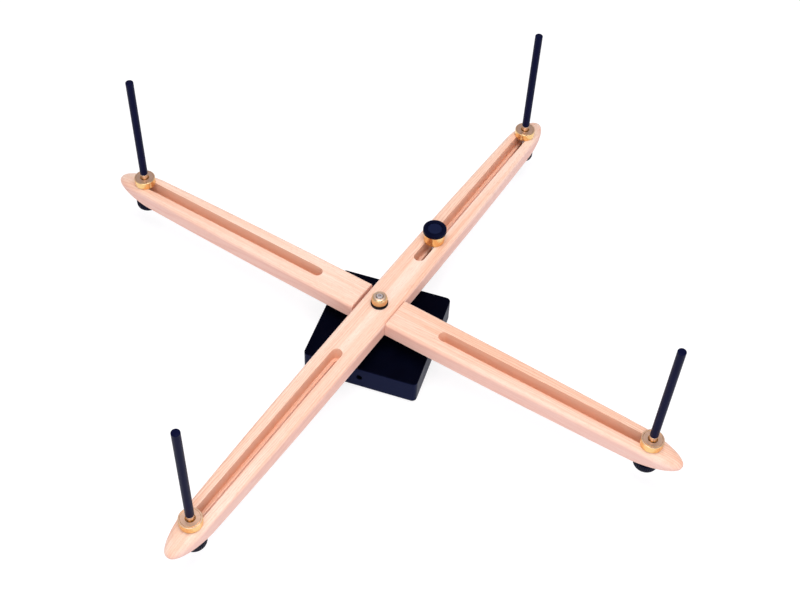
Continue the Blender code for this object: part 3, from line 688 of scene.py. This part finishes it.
def armBar(look, span):
    thickness = armTop - armBottom
    bm = boxShape((span, look["width"], thickness), (0, 0, 0))
    longEdges = [e for e in bm.edges if abs(e.verts[0].co.x - e.verts[1].co.x) > span / 2]
    soften(bm, longEdges, look["edge"], look["edgeSteps"])
    turns = [math.sin(quarterTurn * step / look["tipSteps"]) for step in range(look["tipSteps"])]
    ends = [span / 2 - look["tip"] * (1 - turn) for turn in turns]
    places = ends + [-end for end in ends]
    straight = span / 2 - look["tip"]
    places += [straight * (2 * step / look["bowSteps"] - 1) for step in range(1, look["bowSteps"])]
    for place in places:
        bmesh.ops.bisect_plane(
            bm, geom=[*bm.verts, *bm.edges, *bm.faces], dist=weldDistance,
            plane_co=(place, 0, 0), plane_no=(1, 0, 0),
        )
    halfWidth, halfHeight, edge = look["width"] / 2, thickness / 2, look["edge"]
    for vertex in bm.verts:
        inset = min(max(0, 1 - (span / 2 - abs(vertex.co.x)) / look["tip"]), 1)
        bow = 1 - (1 - look["endShare"]) * (abs(vertex.co.x) * 2 / span) ** look["bowPower"]
        nose = (1 - inset ** look["tipPower"]) ** (1 / look["tipPower"])
        newWidth = halfWidth * bow * nose
        newHeight = halfHeight * math.sqrt(1 - inset ** look["tipDropPower"])
        roundWidth = min(newWidth, edge + (newWidth - edge) * inset)
        roundHeight = min(newHeight, edge + (newHeight - edge) * inset)
        vertex.co.y = reshaped(vertex.co.y, halfWidth, edge, newWidth, roundWidth)
        vertex.co.z = reshaped(vertex.co.z, halfHeight, edge, newHeight, roundHeight)
    bm.transform(Matrix.Translation((0, 0, armMiddle)))
    return cleaned(bm)


# The floor of a groove takes the cutter's second material
def slotTool(look, side, width, low):
    radius, count = width / 2, look["slotSteps"]
    outline = arcPoints((look["slotEnd"], 0), radius, -90, 90, count)
    outline += arcPoints((look["slotStart"], 0), radius, 90, 270, count)
    bm = prism(outline, low, armTop + cutOverrun)
    for face in bm.faces:
        face.material_index = 1 if face.normal.z < facesDown else 0
    if side < 0:
        bm.transform(Matrix.Rotation(math.pi, 4, "Z"))
    return bm


def lowerLapTool(look):
    right = look["width"] / 2 + fitGap
    left = -look["width"] / 2 - look["lapOpen"]
    above = armTop + cutOverrun
    radius, steps = look["lapEdge"], look["lapSteps"]
    height = armTop - radius + fitGap / 4
    outline = arcPoints((right + radius, height), radius, 180, 90, steps)
    outline += [(right + radius, above), (left - radius, above)]
    outline += arcPoints((left - radius, height), radius, 90, 0, steps)
    outline += [(left, armMiddle), (right, armMiddle)]
    bm = prism(outline, -look["width"], look["width"])
    bm.transform(Matrix.Rotation(quarterTurn, 4, "X"))
    return bm


def upperLapTool(look):
    high = armMiddle + fitGap
    low = armBottom - cutOverrun
    size = (look["width"] + 2 * fitGap, 2 * look["width"], high - low)
    return boxShape(size, (0, 0, (high + low) / 2))


def makeArm(name, look, turn, lapTool):
    # The walls of the grooves and the bore take the second maple, which is painted shade and warm
    # bounce light
    wood, grooveShade = "oiledMaple", "grooveShadeMaple"
    lowest, floor = armBottom - cutOverrun, armBottom + look["floor"]
    bore = plainRod(look["bore"], lowest, armTop + cutOverrun, look["boreSteps"])
    tools = [(lapTool, wood), (bore, grooveShade)]
    for side in (1, -1):
        tools.append((slotTool(look, side, look["grooveWidth"], floor), grooveShade, wood))
        tools.append((slotTool(look, side, look["neckWidth"], lowest), grooveShade, grooveShade))
    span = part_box("lower_arm")[1].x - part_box("lower_arm")[0].x
    bm, coats = carved(armBar(look, span), wood, tools)

    def slotEdges(width, low, high):
        for edge in sharpEdges(bm):
            middle = (edge.verts[0].co + edge.verts[1].co) / 2
            along = look["slotStart"] - width < abs(middle.x) < look["slotEnd"] + width
            level = all(low < vertex.co.z < high for vertex in edge.verts)
            if along and level and abs(middle.y) < width / 2 + nearby:
                yield edge

    rim = slotEdges(look["grooveWidth"], armTop - look["rimReach"], armTop + nearby)
    soften(bm, rim, look["rim"], look["rimSteps"])
    soften(bm, slotEdges(look["neckWidth"], lowest, floor + nearby), look["neckRim"])
    shift = look["grainShift"] if turn else (0, 0, 0)
    addPiece(name, bm, coats, "rotor", "maple", turn=turn, shift=shift)


makeArm("lower_arm", armLook, 0, lowerLapTool(armLook))
makeArm("upper_arm", armLook, quarterTurn, upperLapTool(armLook))
print("arms made")


# Turned pieces, and what they share

def levelsOf(node):
    return [corner.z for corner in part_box(node)]


def axisOf(node):
    low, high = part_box(node)
    return ((low.x + high.x) / 2, (low.y + high.y) / 2, 0)


def eased(bm, width, segments=2):
    return soften(bm, sharpEdges(bm), width, segments)


def ringShape(inner, outer, low, high, steps, ease):
    return eased(turned([(outer, high), (outer, low), (inner, low), (inner, high)], steps), ease)


# A plain ring as high as its CAD node, as a piece
def addRing(name, radii, ease, finish, body, slot, steps=64, place=(0, 0, 0), turn=0.0):
    bm = ringShape(*radii, *levelsOf(name), steps, ease)
    addPiece(name, bm, [finish], body, slot, place, turn)


# Shares of the pitch at which a ridge's crest and the root beside it start and end
threadShares = (0.1, 0.25, 0.62, 0.75)


# The ridges of a screw thread, as points of a profile from start to end
def threadPoints(radius, depth, start, end, pitch):
    step = math.copysign(pitch, end - start)
    sizes = (radius, radius, radius - depth, radius - depth)
    points = []
    for ridge in range(int(abs(end - start) / pitch)):
        foot = start + step * ridge
        points += [(size, foot + step * share) for size, share in zip(sizes, threadShares)]
    return points


# The profile of a rod that is threaded from end to end
def threadedRod(radius, depth, low, high, pitch):
    profile = [(0, high), (radius - depth, high), (radius, high - depth)]
    profile += threadPoints(radius, depth, high - depth, low + depth, pitch)
    return profile + [(radius, low + depth), (radius - depth, low), (0, low)]


# A turned shape with a hexagon socket for a key, in its top if no ends are given
def keyed(profile, look, finish, ends=None):
    top = profile[0][1]
    ends = ends or (top - look["keyDepth"], top + cutOverrun)
    hexagon = prism(arcPoints((0, 0), look["key"], 0, 300, 5), *ends)
    return carved(turned(profile, look["steps"]), finish, [(hexagon, finish)])


# Presses upright flutes or a knurl into a turned shape, between two heights
def fluted(bm, radius, depth, low, high, count):
    for vertex in bm.verts:
        size = math.hypot(vertex.co.x, vertex.co.y)
        if size > radius - depth and low <= vertex.co.z <= high:
            angle = math.atan2(vertex.co.y, vertex.co.x)
            sunk = depth * (0.5 - 0.5 * math.cos(count * angle))
            vertex.co.x *= (size - sunk) / size
            vertex.co.y *= (size - sunk) / size


# Base block and pad

baseLook = {
    "side": 0.1090,
    "turn": math.radians(14.3),
    "corner": 0.0045,
    "cornerSteps": 12,
    "rim": 0.0009,
    "rimSteps": 4,
    "pocket": 0.0083,
    "pocketFloor": 0.0034,  # above the block's underside
    "mouth": 0.0005,  # chamfer round the pocket and the hole in the side
    "pocketSteps": 96,
    "ringGroove": 0.0091,
    "shaftHole": 0.0063,
    "sideHole": 0.0028,
    "holeStart": 0.0052,
    "holeSteps": 48,
    "padInset": 0.003,
    "padEaseShare": 1 / 6,  # of the pad's thickness
    "padHole": 0.010,
    "padHoleSteps": 64,
}


def roundedSlab(side, low, high, look, rim):
    bm = boxShape((side, side, high - low), (0, 0, (high + low) / 2))
    upright = [e for e in bm.edges if abs(e.verts[0].co.z - e.verts[1].co.z) > weldDistance]
    soften(bm, upright, look["corner"], look["cornerSteps"])
    around = [e for e in bm.edges if e.calc_face_angle(0) > math.pi / 3]
    return soften(bm, around, rim, look["rimSteps"])


# Lays an upright shape along the hole in the base's side
def sideways():
    height = sum(levelsOf("drag_screw")) / 2
    return Matrix.Translation((0, 0, height)) @ Matrix.Rotation(quarterTurn, 4, "X")


def makeBase(look):
    lacquer, rubber = "satinLacquer", "softRubber"
    low, high = levelsOf("base_block")
    ringLow, ringHigh = levelsOf("retaining_ring")
    radius, mouth, floor = look["pocket"], look["mouth"], low + look["pocketFloor"]
    pocket = turned([
        (0, high + cutOverrun), (radius + mouth + cutOverrun, high + cutOverrun),
        (radius, high - mouth), (radius, ringHigh + fitGap),
        (look["ringGroove"], ringHigh + fitGap), (look["ringGroove"], ringLow - fitGap),
        (radius, ringLow - fitGap), (radius, floor), (look["shaftHole"], floor),
        (look["shaftHole"], low - cutOverrun), (0, low - cutOverrun),
    ], look["pocketSteps"])
    radius, reach = look["sideHole"], look["side"] / 2
    hole = turned([
        (0, reach + cutOverrun), (radius + mouth + cutOverrun, reach + cutOverrun),
        (radius, reach - mouth), (radius, look["holeStart"]), (0, look["holeStart"]),
    ], look["holeSteps"])
    hole.transform(sideways())
    block = roundedSlab(look["side"], low, high, look, look["rim"])
    block = carved(block, lacquer, [(pocket, lacquer), (hole, lacquer)])
    addPiece("base_block", *block, "base", "black_lacquer", turn=look["turn"])

    low, high = levelsOf("base_pad")
    side = look["side"] - 2 * look["padInset"]
    slab = roundedSlab(side, low, high, look, (high - low) * look["padEaseShare"])
    access = plainRod(look["padHole"], low - cutOverrun, high + cutOverrun, look["padHoleSteps"])
    pad = carved(slab, rubber, [(access, rubber)])
    addPiece("base_pad", *pad, "base", "rubber", turn=look["turn"])


makeBase(baseLook)
print("base made")


# Bearings, sleeve and retaining ring in the base's pocket

bearingLook = {
    "bore": 0.004,
    "outside": 0.008,
    "innerLand": 0.0052,
    "outerLand": 0.0068,
    "race": 0.00045,  # depth of the groove that the balls run in
    "raceHalf": 0.00095,
    "raceAngle": 60,  # degrees to each side of its deepest line
    "raceSteps": 8,
    "edge": 0.00015,
    "corner": math.radians(81),  # only edges sharper than this are eased
    "steps": 72,
    "ball": 0.00095,
    "ballSteps": (24, 14),
    "balls": 7,
    "cage": (0.0055, 0.0065, 0.0006),  # inner and outer radius, and half its height
    "cageEase": 0.00012,
    "sleeveEase": 0.00025,
    "ringOpening": 0.006,
    "ringInner": 0.0069,
    "ringOuter": 0.0088,
    "ringSteps": 64,
}


def makeBearing(name, look):
    low, high = levelsOf(name + "_bearing_outer")
    middle = (low + high) / 2
    bend = arcPoints((0, 0), 1, -look["raceAngle"], look["raceAngle"], look["raceSteps"])
    rise = look["raceHalf"] / bend[-1][1]
    rings = (
        ("outer", look["outside"], look["outerLand"], 1, "base"),
        ("inner", look["bore"], look["innerLand"], -1, "rotor"),
    )
    for ring, plain, land, way, body in rings:
        race = [(land + way * look["race"] * (2 * x - 1), middle + rise * y) for x, y in bend]
        profile = [(plain, high), (plain, low), (land, low), *race, (land, high)]
        bm = turned(profile, look["steps"])
        soften(bm, sharpEdges(bm, look["corner"]), look["edge"])
        addPiece(f"{name}_bearing_{ring}", bm, ["turnedSteel"], body, "steel")
    inner, outer, half = look["cage"]
    bm = ringShape(inner, outer, middle - half, middle + half, look["steps"], look["cageEase"])
    around, upright = look["ballSteps"]
    for ball in range(look["balls"]):
        turn = Matrix.Rotation(2 * math.pi * ball / look["balls"], 4, "Z")
        bmesh.ops.create_uvsphere(
            bm, u_segments=around, v_segments=upright, radius=look["ball"],
            matrix=turn @ Matrix.Translation(((inner + outer) / 2, 0, middle)),
        )
    addPiece(f"{name}_bearing_balls", bm, ["groundSteel"], f"{name}_balls", "steel")


def makeRetainingRing(look):
    low, high = levelsOf("retaining_ring")
    inner, outer = look["ringInner"], look["ringOuter"]
    half = math.asin(look["ringOpening"] / (inner + outer))
    corners = ((inner, low), (outer, low), (outer, high), (inner, high))
    bm = turned(corners, look["ringSteps"], 2 * half)
    bm.transform(Matrix.Rotation(half - quarterTurn, 4, "Z"))
    bmesh.ops.holes_fill(bm, edges=bm.edges, sides=0)
    bm, turn = eased(cleaned(bm), look["edge"]), baseLook["turn"]
    addPiece("retaining_ring", bm, ["groundSteel"], "base", "steel", turn=turn)


def makeSleeve(look):
    radii = look["bore"], look["innerLand"]
    addRing("bearing_sleeve", radii, look["sleeveEase"], "turnedSteel", "rotor", "steel")


makeBearing("lower", bearingLook)
makeBearing("upper", bearingLook)
makeRetainingRing(bearingLook)
makeSleeve(bearingLook)
print("bearings made")


# Spindle, its washers and screw

spindleLook = {
    "thread": 0.003,
    "threadDepth": 0.0004,
    "threadPitch": 0.001,
    "threadStart": 0.0015,  # under the arms' top
    "shank": 0.004,
    "flange": 0.011,
    "flangeThickness": 0.003,
    "journal": 0.0037,
    "shoulder": 0.0052,
    "chamfer": 0.0004,
    "screwHole": 0.0023,
    "screwDepth": 0.0083,
    "key": 0.0017,
    "keyDepth": 0.0025,
    "steps": 72,
    "retainerThread": 0.002,
    "retainerDepth": 0.0003,
    "retainerPlain": 0.0012,  # of its shank, next to the head
    "retainerHead": 0.0034,
    "retainerPitch": 0.0007,
    "washerEase": 0.00012,
    "hubEase": 0.0003,
}


def makeSpindle(look):
    names = ("chamfer", "shank", "flange", "shoulder", "journal", "screwHole")
    c, shank, flange, shoulder, journal, hole = (look[name] for name in names)
    low, high = levelsOf("spindle")
    seat = levelsOf("upper_bearing_inner")[1] + fitGap
    flangeTop = levelsOf("hub_washer")[0] - fitGap
    flangeLow = flangeTop - look["flangeThickness"]
    start, thread = armTop - look["threadStart"], look["thread"]
    profile = [(0, high), (thread - c, high), (thread, high - c)]
    profile += threadPoints(thread, look["threadDepth"], high - c, start, look["threadPitch"])
    profile += [
        (thread, start), (shank, start - c), (shank, flangeTop), (flange - c, flangeTop),
        (flange, flangeTop - c), (flange, flangeLow + c), (flange - c, flangeLow),
        (shoulder, flangeLow), (shoulder, seat), (journal, seat), (journal, low + c),
        (journal - c, low), (hole, low), (hole, low + look["screwDepth"]),
        (0, low + look["screwDepth"] + hole / 2),
    ]
    addPiece("spindle", *keyed(profile, look, "turnedSteel"), "rotor", "steel")

    radii = hole, shoulder
    addRing("retaining_washer", radii, look["washerEase"], "turnedSteel", "rotor", "steel")

    low, high = levelsOf("retaining_screw")
    headTop = levelsOf("retaining_washer")[0] - fitGap
    plain, pitch = headTop + look["retainerPlain"], look["retainerPitch"]
    radius, head = look["retainerThread"], look["retainerHead"]
    profile = [(0, high), (radius - c, high), (radius, high - c)]
    profile += threadPoints(radius, look["retainerDepth"], high - c, plain, pitch)
    profile += [(radius, headTop), (head, headTop), (head, low + c), (head - c, low), (0, low)]
    ends = low - cutOverrun, (low + headTop) / 2
    addPiece("retaining_screw", *keyed(profile, look, "turnedSteel", ends), "rotor", "steel")

    radii = shank + fitGap, flange
    addRing("hub_washer", radii, look["hubEase"], "softRubber", "rotor", "rubber")


makeSpindle(spindleLook)
print("spindle made")


# Centre nut and its washer

nutLook = {
    "radius": 0.0073,
    "top": 0.0042,
    "knurlShare": 0.55,  # of the height
    "teeth": 48,
    "toothDepth": 0.00032,
    "bore": 0.0033,
    "edge": 0.0004,
    "domeSteps": 7,
    "washer": 0.0080,
    "washerSteps": 72,
    "washerEase": 0.0003,
}


def makeCentreNut(look):
    low, high = levelsOf("centre_nut")
    radius, top, bore, edge = look["radius"], look["top"], look["bore"], look["edge"]
    knurlTop = low + (high - low) * look["knurlShare"]
    dome = [(top + (radius - top) * x, knurlTop + (high - knurlTop) * y)
            for x, y in arcPoints((0, 0), 1, 90, 0, look["domeSteps"])]
    profile = [(bore + edge, high), (top - edge, high)] + dome[1:] + [
        (radius, knurlTop - edge), (radius, low + 2 * edge), (radius - edge / 2, low + edge),
        (radius - edge, low), (bore, low), (bore, high - edge),
    ]
    bm = turned(profile, look["teeth"] * 4)
    knurl = low + edge * 1.5, knurlTop - edge / 2
    fluted(bm, radius, look["toothDepth"], *knurl, look["teeth"])
    addPiece("centre_nut", bm, ["spunBrass"], "centre_nut", "brass")

    radii, ease, steps = (bore, look["washer"]), look["washerEase"], look["washerSteps"]
    addRing("centre_washer", radii, ease, "blackFibre", "rotor", "black_plastic", steps)


makeCentreNut(nutLook)
print("centre nut made")


# Pegs: rod, ferrule, collar and stud

pegLook = {
    "steps": 64,
    "rod": 0.0037,
    "rodEase": 0.0008,
    "rodEaseSteps": 6,
    "rodHole": 0.0023,
    "rodDepth": 0.0143,
    "ferrule": 0.0034,
    "ferruleEdge": 0.0005,
    "collar": 0.0100,
    "collarSteps": 96,
    "collarEdge": 0.0006,
    "foot": 0.0003,  # chamfer at the lower ends
    "line": 0.0084,  # radius of the fine ring turned in a collar's top
    "lineWidth": 0.0003,
    "lineDepth": 0.00018,
    "socket": 0.0037,
    "flare": 0.0007,
    "socketDepth": 0.0020,
    "boss": 0.00495,
    "bossDepth": 0.0040,
    "stud": 0.0020,
    "studPitch": 0.0007,
    "studThread": 0.0003,
    "studSteps": 40,
}


def rodShape(look, low, high):
    radius, ease, foot = look["rod"], look["rodEase"], look["foot"]
    profile = [(0, high)]
    profile += arcPoints((radius - ease, high - ease), ease, 90, 0, look["rodEaseSteps"])
    profile += [
        (radius, low + foot), (radius - foot, low), (look["rodHole"], low),
        (look["rodHole"], low + look["rodDepth"]), (0, low + look["rodDepth"]),
    ]
    return turned(profile, look["steps"])


def ferruleShape(look, low, high):
    edge, radius = look["ferruleEdge"], look["ferrule"]
    profile = [(radius - edge, high)]
    profile += arcPoints((radius - edge, high - edge), edge, 60, 0, 3)
    profile += [(radius, low), (look["rodHole"], low), (look["rodHole"], high)]
    return turned(profile, look["steps"])


def collarShape(look, low, high):
    edge, radius, foot = look["collarEdge"], look["collar"], look["foot"]
    line, half, boss = look["line"], look["lineWidth"] / 2, look["boss"]
    middle = low + look["bossDepth"]
    profile = [
        (look["socket"] + look["flare"], high), (line - half, high),
        (line, high - look["lineDepth"]), (line + half, high), (radius - edge, high),
    ]
    profile += arcPoints((radius - edge, high - edge), edge, 75, 0, 4)
    profile += [
        (radius, middle + foot), (radius - foot, middle), (boss, middle), (boss, low + foot),
        (boss - foot, low), (look["rodHole"], low),
        (look["rodHole"], high - look["socketDepth"]),
        (look["socket"], high - look["socketDepth"]), (look["socket"], high - look["flare"]),
    ]
    return turned(profile, look["collarSteps"])


def studShape(look, low, high):
    profile = threadedRod(look["stud"], look["studThread"], low, high, look["studPitch"])
    return turned(profile, look["studSteps"])


def makePegs(look):
    for number in range(1, 5):
        body, turn = f"peg_{number}", quarterTurn * (number - 1)
        pieces = (
            ("rod", rodShape, "blueBlackCoat", "black_rod"),
            ("ferrule", ferruleShape, "paleBrass", "brass"),
            ("collar", collarShape, "polishedBrass", "brass"),
            ("stud", studShape, "turnedSteel", "steel"),
        )
        for kind, shape, finish, slot in pieces:
            node = f"peg_{kind}_{number}"
            bm = shape(look, *levelsOf(node))
            addPiece(node, bm, [finish], body, slot, place=axisOf(node), turn=turn)


makePegs(pegLook)
print("pegs made")


# Clamp knobs with their washers and inserts

clampLook = {
    "radius": 0.0112,
    "rounding": 0.0038,
    "roundSteps": 8,
    "chamfer": 0.0006,
    "dish": 0.0068,
    "dishDepth": 0.0005,
    "dishLip": (0.0004, 0.0001),  # across and up
    "flutes": 36,
    "fluteDepth": 0.00045,
    "fluteStart": 0.4,  # as a share of the rounding
    "insert": 0.0040,
    "insertBore": 0.0023,
    "insertSteps": 48,
    "edge": 0.0002,
    "washer": 0.0080,
    "washerEase": 0.00015,
    "pitch": 0.0007,
    "threadDepth": 0.00025,
}


# A knob's outside, from its dished face to the rim against its neighbour. Way is 1 where the
# face is on top and -1 where it is underneath.
def knobSide(look, face, rim, way):
    ease, radius, chamfer = look["rounding"], look["radius"], look["chamfer"]
    side = arcPoints((radius - ease, face - way * ease), ease, way * 90, 0, look["roundSteps"])
    middle = (face - way * ease + rim) / 2
    return side + [(radius, middle), (radius, rim + way * chamfer), (radius - chamfer, rim)]


def makeClamp(look, number, place, turn):
    knob, insert, washer = (f"clamp_{kind}_{number}" for kind in ("knob", "insert", "washer"))
    low, high = levelsOf(knob)
    insertLow = levelsOf(insert)[0]
    dish, depth = look["dish"], look["dishDepth"]
    across, up = look["dishLip"]
    profile = [(0, low + depth), (dish - across, low + depth), (dish + depth, low + up)]
    profile += knobSide(look, low, high, -1)
    profile += [
        (look["insert"] + fitGap, high), (look["insert"] + fitGap, insertLow - fitGap),
        (0, insertLow - fitGap),
    ]
    bm = turned(profile, look["flutes"] * 4)
    levels = low + look["rounding"] * look["fluteStart"], high - look["edge"]
    fluted(bm, look["radius"], look["fluteDepth"], *levels, look["flutes"])
    addPiece(knob, bm, ["knobPlastic"], knob, "black_plastic", place, turn)

    radius, edge = look["insert"], look["edge"]
    bore, depth = look["insertBore"], look["threadDepth"]
    profile = [(bore + depth, high), (radius - edge, high), (radius, high - edge)]
    profile += [(radius, insertLow), (bore, insertLow)]
    profile += threadPoints(bore, -depth, insertLow, high - depth, look["pitch"])
    bm = turned(profile + [(bore, high - depth)], look["insertSteps"])
    addPiece(insert, bm, ["polishedBrass"], knob, "brass", place, turn)

    radii, ease = (look["insertBore"], look["washer"]), look["washerEase"]
    addRing(washer, radii, ease, "groundSteel", washer, "steel", place=place, turn=turn)


for number in range(1, 5):
    makeClamp(clampLook, number, axisOf(f"peg_rod_{number}"), quarterTurn * (number - 1))
makeClamp(clampLook, 5, axisOf("spinner_knob"), 0)
print("clamps made")


# Revolving knob

spinnerLook = {
    "shoulder": 0.0030,
    "head": 0.0045,
    "headHeight": 0.0014,
    "key": 0.0022,
    "keyDepth": 0.0009,
    "plain": 0.001,  # of the screw under its shoulder
    "steps": 64,
    "rounding": 0.0010,
    "roundSteps": 6,
    "knobSteps": 96,
    "edge": 0.0002,
    "capEdge": 0.0003,
    "capHollow": 0.00018,
    "capShape": ((0, 1), (0.6, 0.8), (0.88, 0.3)),  # shares of its radius and of the hollow
}


def makeSpinner(look, clampLook, pegLook):
    knobLook = clampLook | {"rounding": look["rounding"], "roundSteps": look["roundSteps"]}
    place, steps = axisOf("spinner_knob"), look["knobSteps"]
    head, shoulder = look["head"], look["shoulder"]
    collarLow, collarHigh = levelsOf("spinner_collar")
    bm = collarShape(pegLook, collarLow, collarHigh)
    addPiece("spinner_collar", bm, ["polishedBrass"], "spinner", "brass", place)

    low, high = levelsOf("spinner_knob")
    capLow, capHigh = levelsOf("spinner_cap")
    headLow = capLow - 2 * fitGap - look["headHeight"]
    recess, seat = knobLook["dish"] + fitGap, headLow - fitGap
    profile = [(recess + look["edge"], high)]
    profile += knobSide(knobLook, high, low, 1)
    profile += [
        (shoulder + fitGap, low), (shoulder + fitGap, seat), (head + fitGap, seat),
        (head + fitGap, capLow - fitGap), (recess, capLow - fitGap),
        (recess, high - look["edge"]),
    ]
    knob = turned(profile, steps)
    addPiece("spinner_knob", knob, ["knobPlastic"], "spinner_knob", "black_plastic", place)

    radius, edge = knobLook["dish"], look["capEdge"]
    profile = [(radius * x, capHigh - look["capHollow"] * y) for x, y in look["capShape"]]
    profile += [(radius - edge, capHigh), (radius, capHigh - edge), (radius, capLow), (0, capLow)]
    cap = turned(profile, steps)
    addPiece("spinner_cap", cap, ["capPlastic"], "spinner_knob", "black_plastic", place)

    low, high = levelsOf("spinner_screw")
    step = collarHigh - pegLook["socketDepth"] + fitGap
    thread, edge = pegLook["stud"], pegLook["studThread"]
    profile = [
        (0, high), (head - edge, high), (head, high - edge), (head, headLow),
        (shoulder, headLow), (shoulder, step), (thread, step),
    ]
    profile += threadPoints(thread, edge, step - look["plain"], low + edge, pegLook["studPitch"])
    profile += [(thread, low + edge), (thread - edge, low), (0, low)]
    addPiece("spinner_screw", *keyed(profile, look, "turnedSteel"), "spinner", "steel", place)


makeSpinner(spinnerLook, clampLook, pegLook)
print("revolving knob made")


# Drag screw and pad, made upright and laid along the hole in the base's side

dragLook = {
    "screw": 0.0025,
    "length": 0.012,
    "padLength": 0.005,
    "pad": 0.0025,
    "padSteps": 48,
    "padEase": 0.0003,
    "start": 0.0055,  # from the spindle's axis to the pad
    "steps": 56,
    "key": 0.0014,
    "keyDepth": 0.002,
    "pitch": 0.0008,
    "threadDepth": 0.0003,
}


def makeDrag(look):
    turn, lay = baseLook["turn"], sideways()
    low, high = look["start"], look["start"] + look["padLength"]
    pad = eased(plainRod(look["pad"], low, high, look["padSteps"]), look["padEase"], 3)
    addPiece("drag_pad", pad, ["paleNylon"], "drag_pad", "nylon", turn=turn, lay=lay)

    low = high + fitGap
    high = low + look["length"]
    profile = threadedRod(look["screw"], look["threadDepth"], low, high, look["pitch"])
    screw = keyed(profile, look, "groundSteel")
    addPiece("drag_screw", *screw, "drag_screw", "steel", turn=turn, lay=lay)


makeDrag(dragLook)
print("drag made")
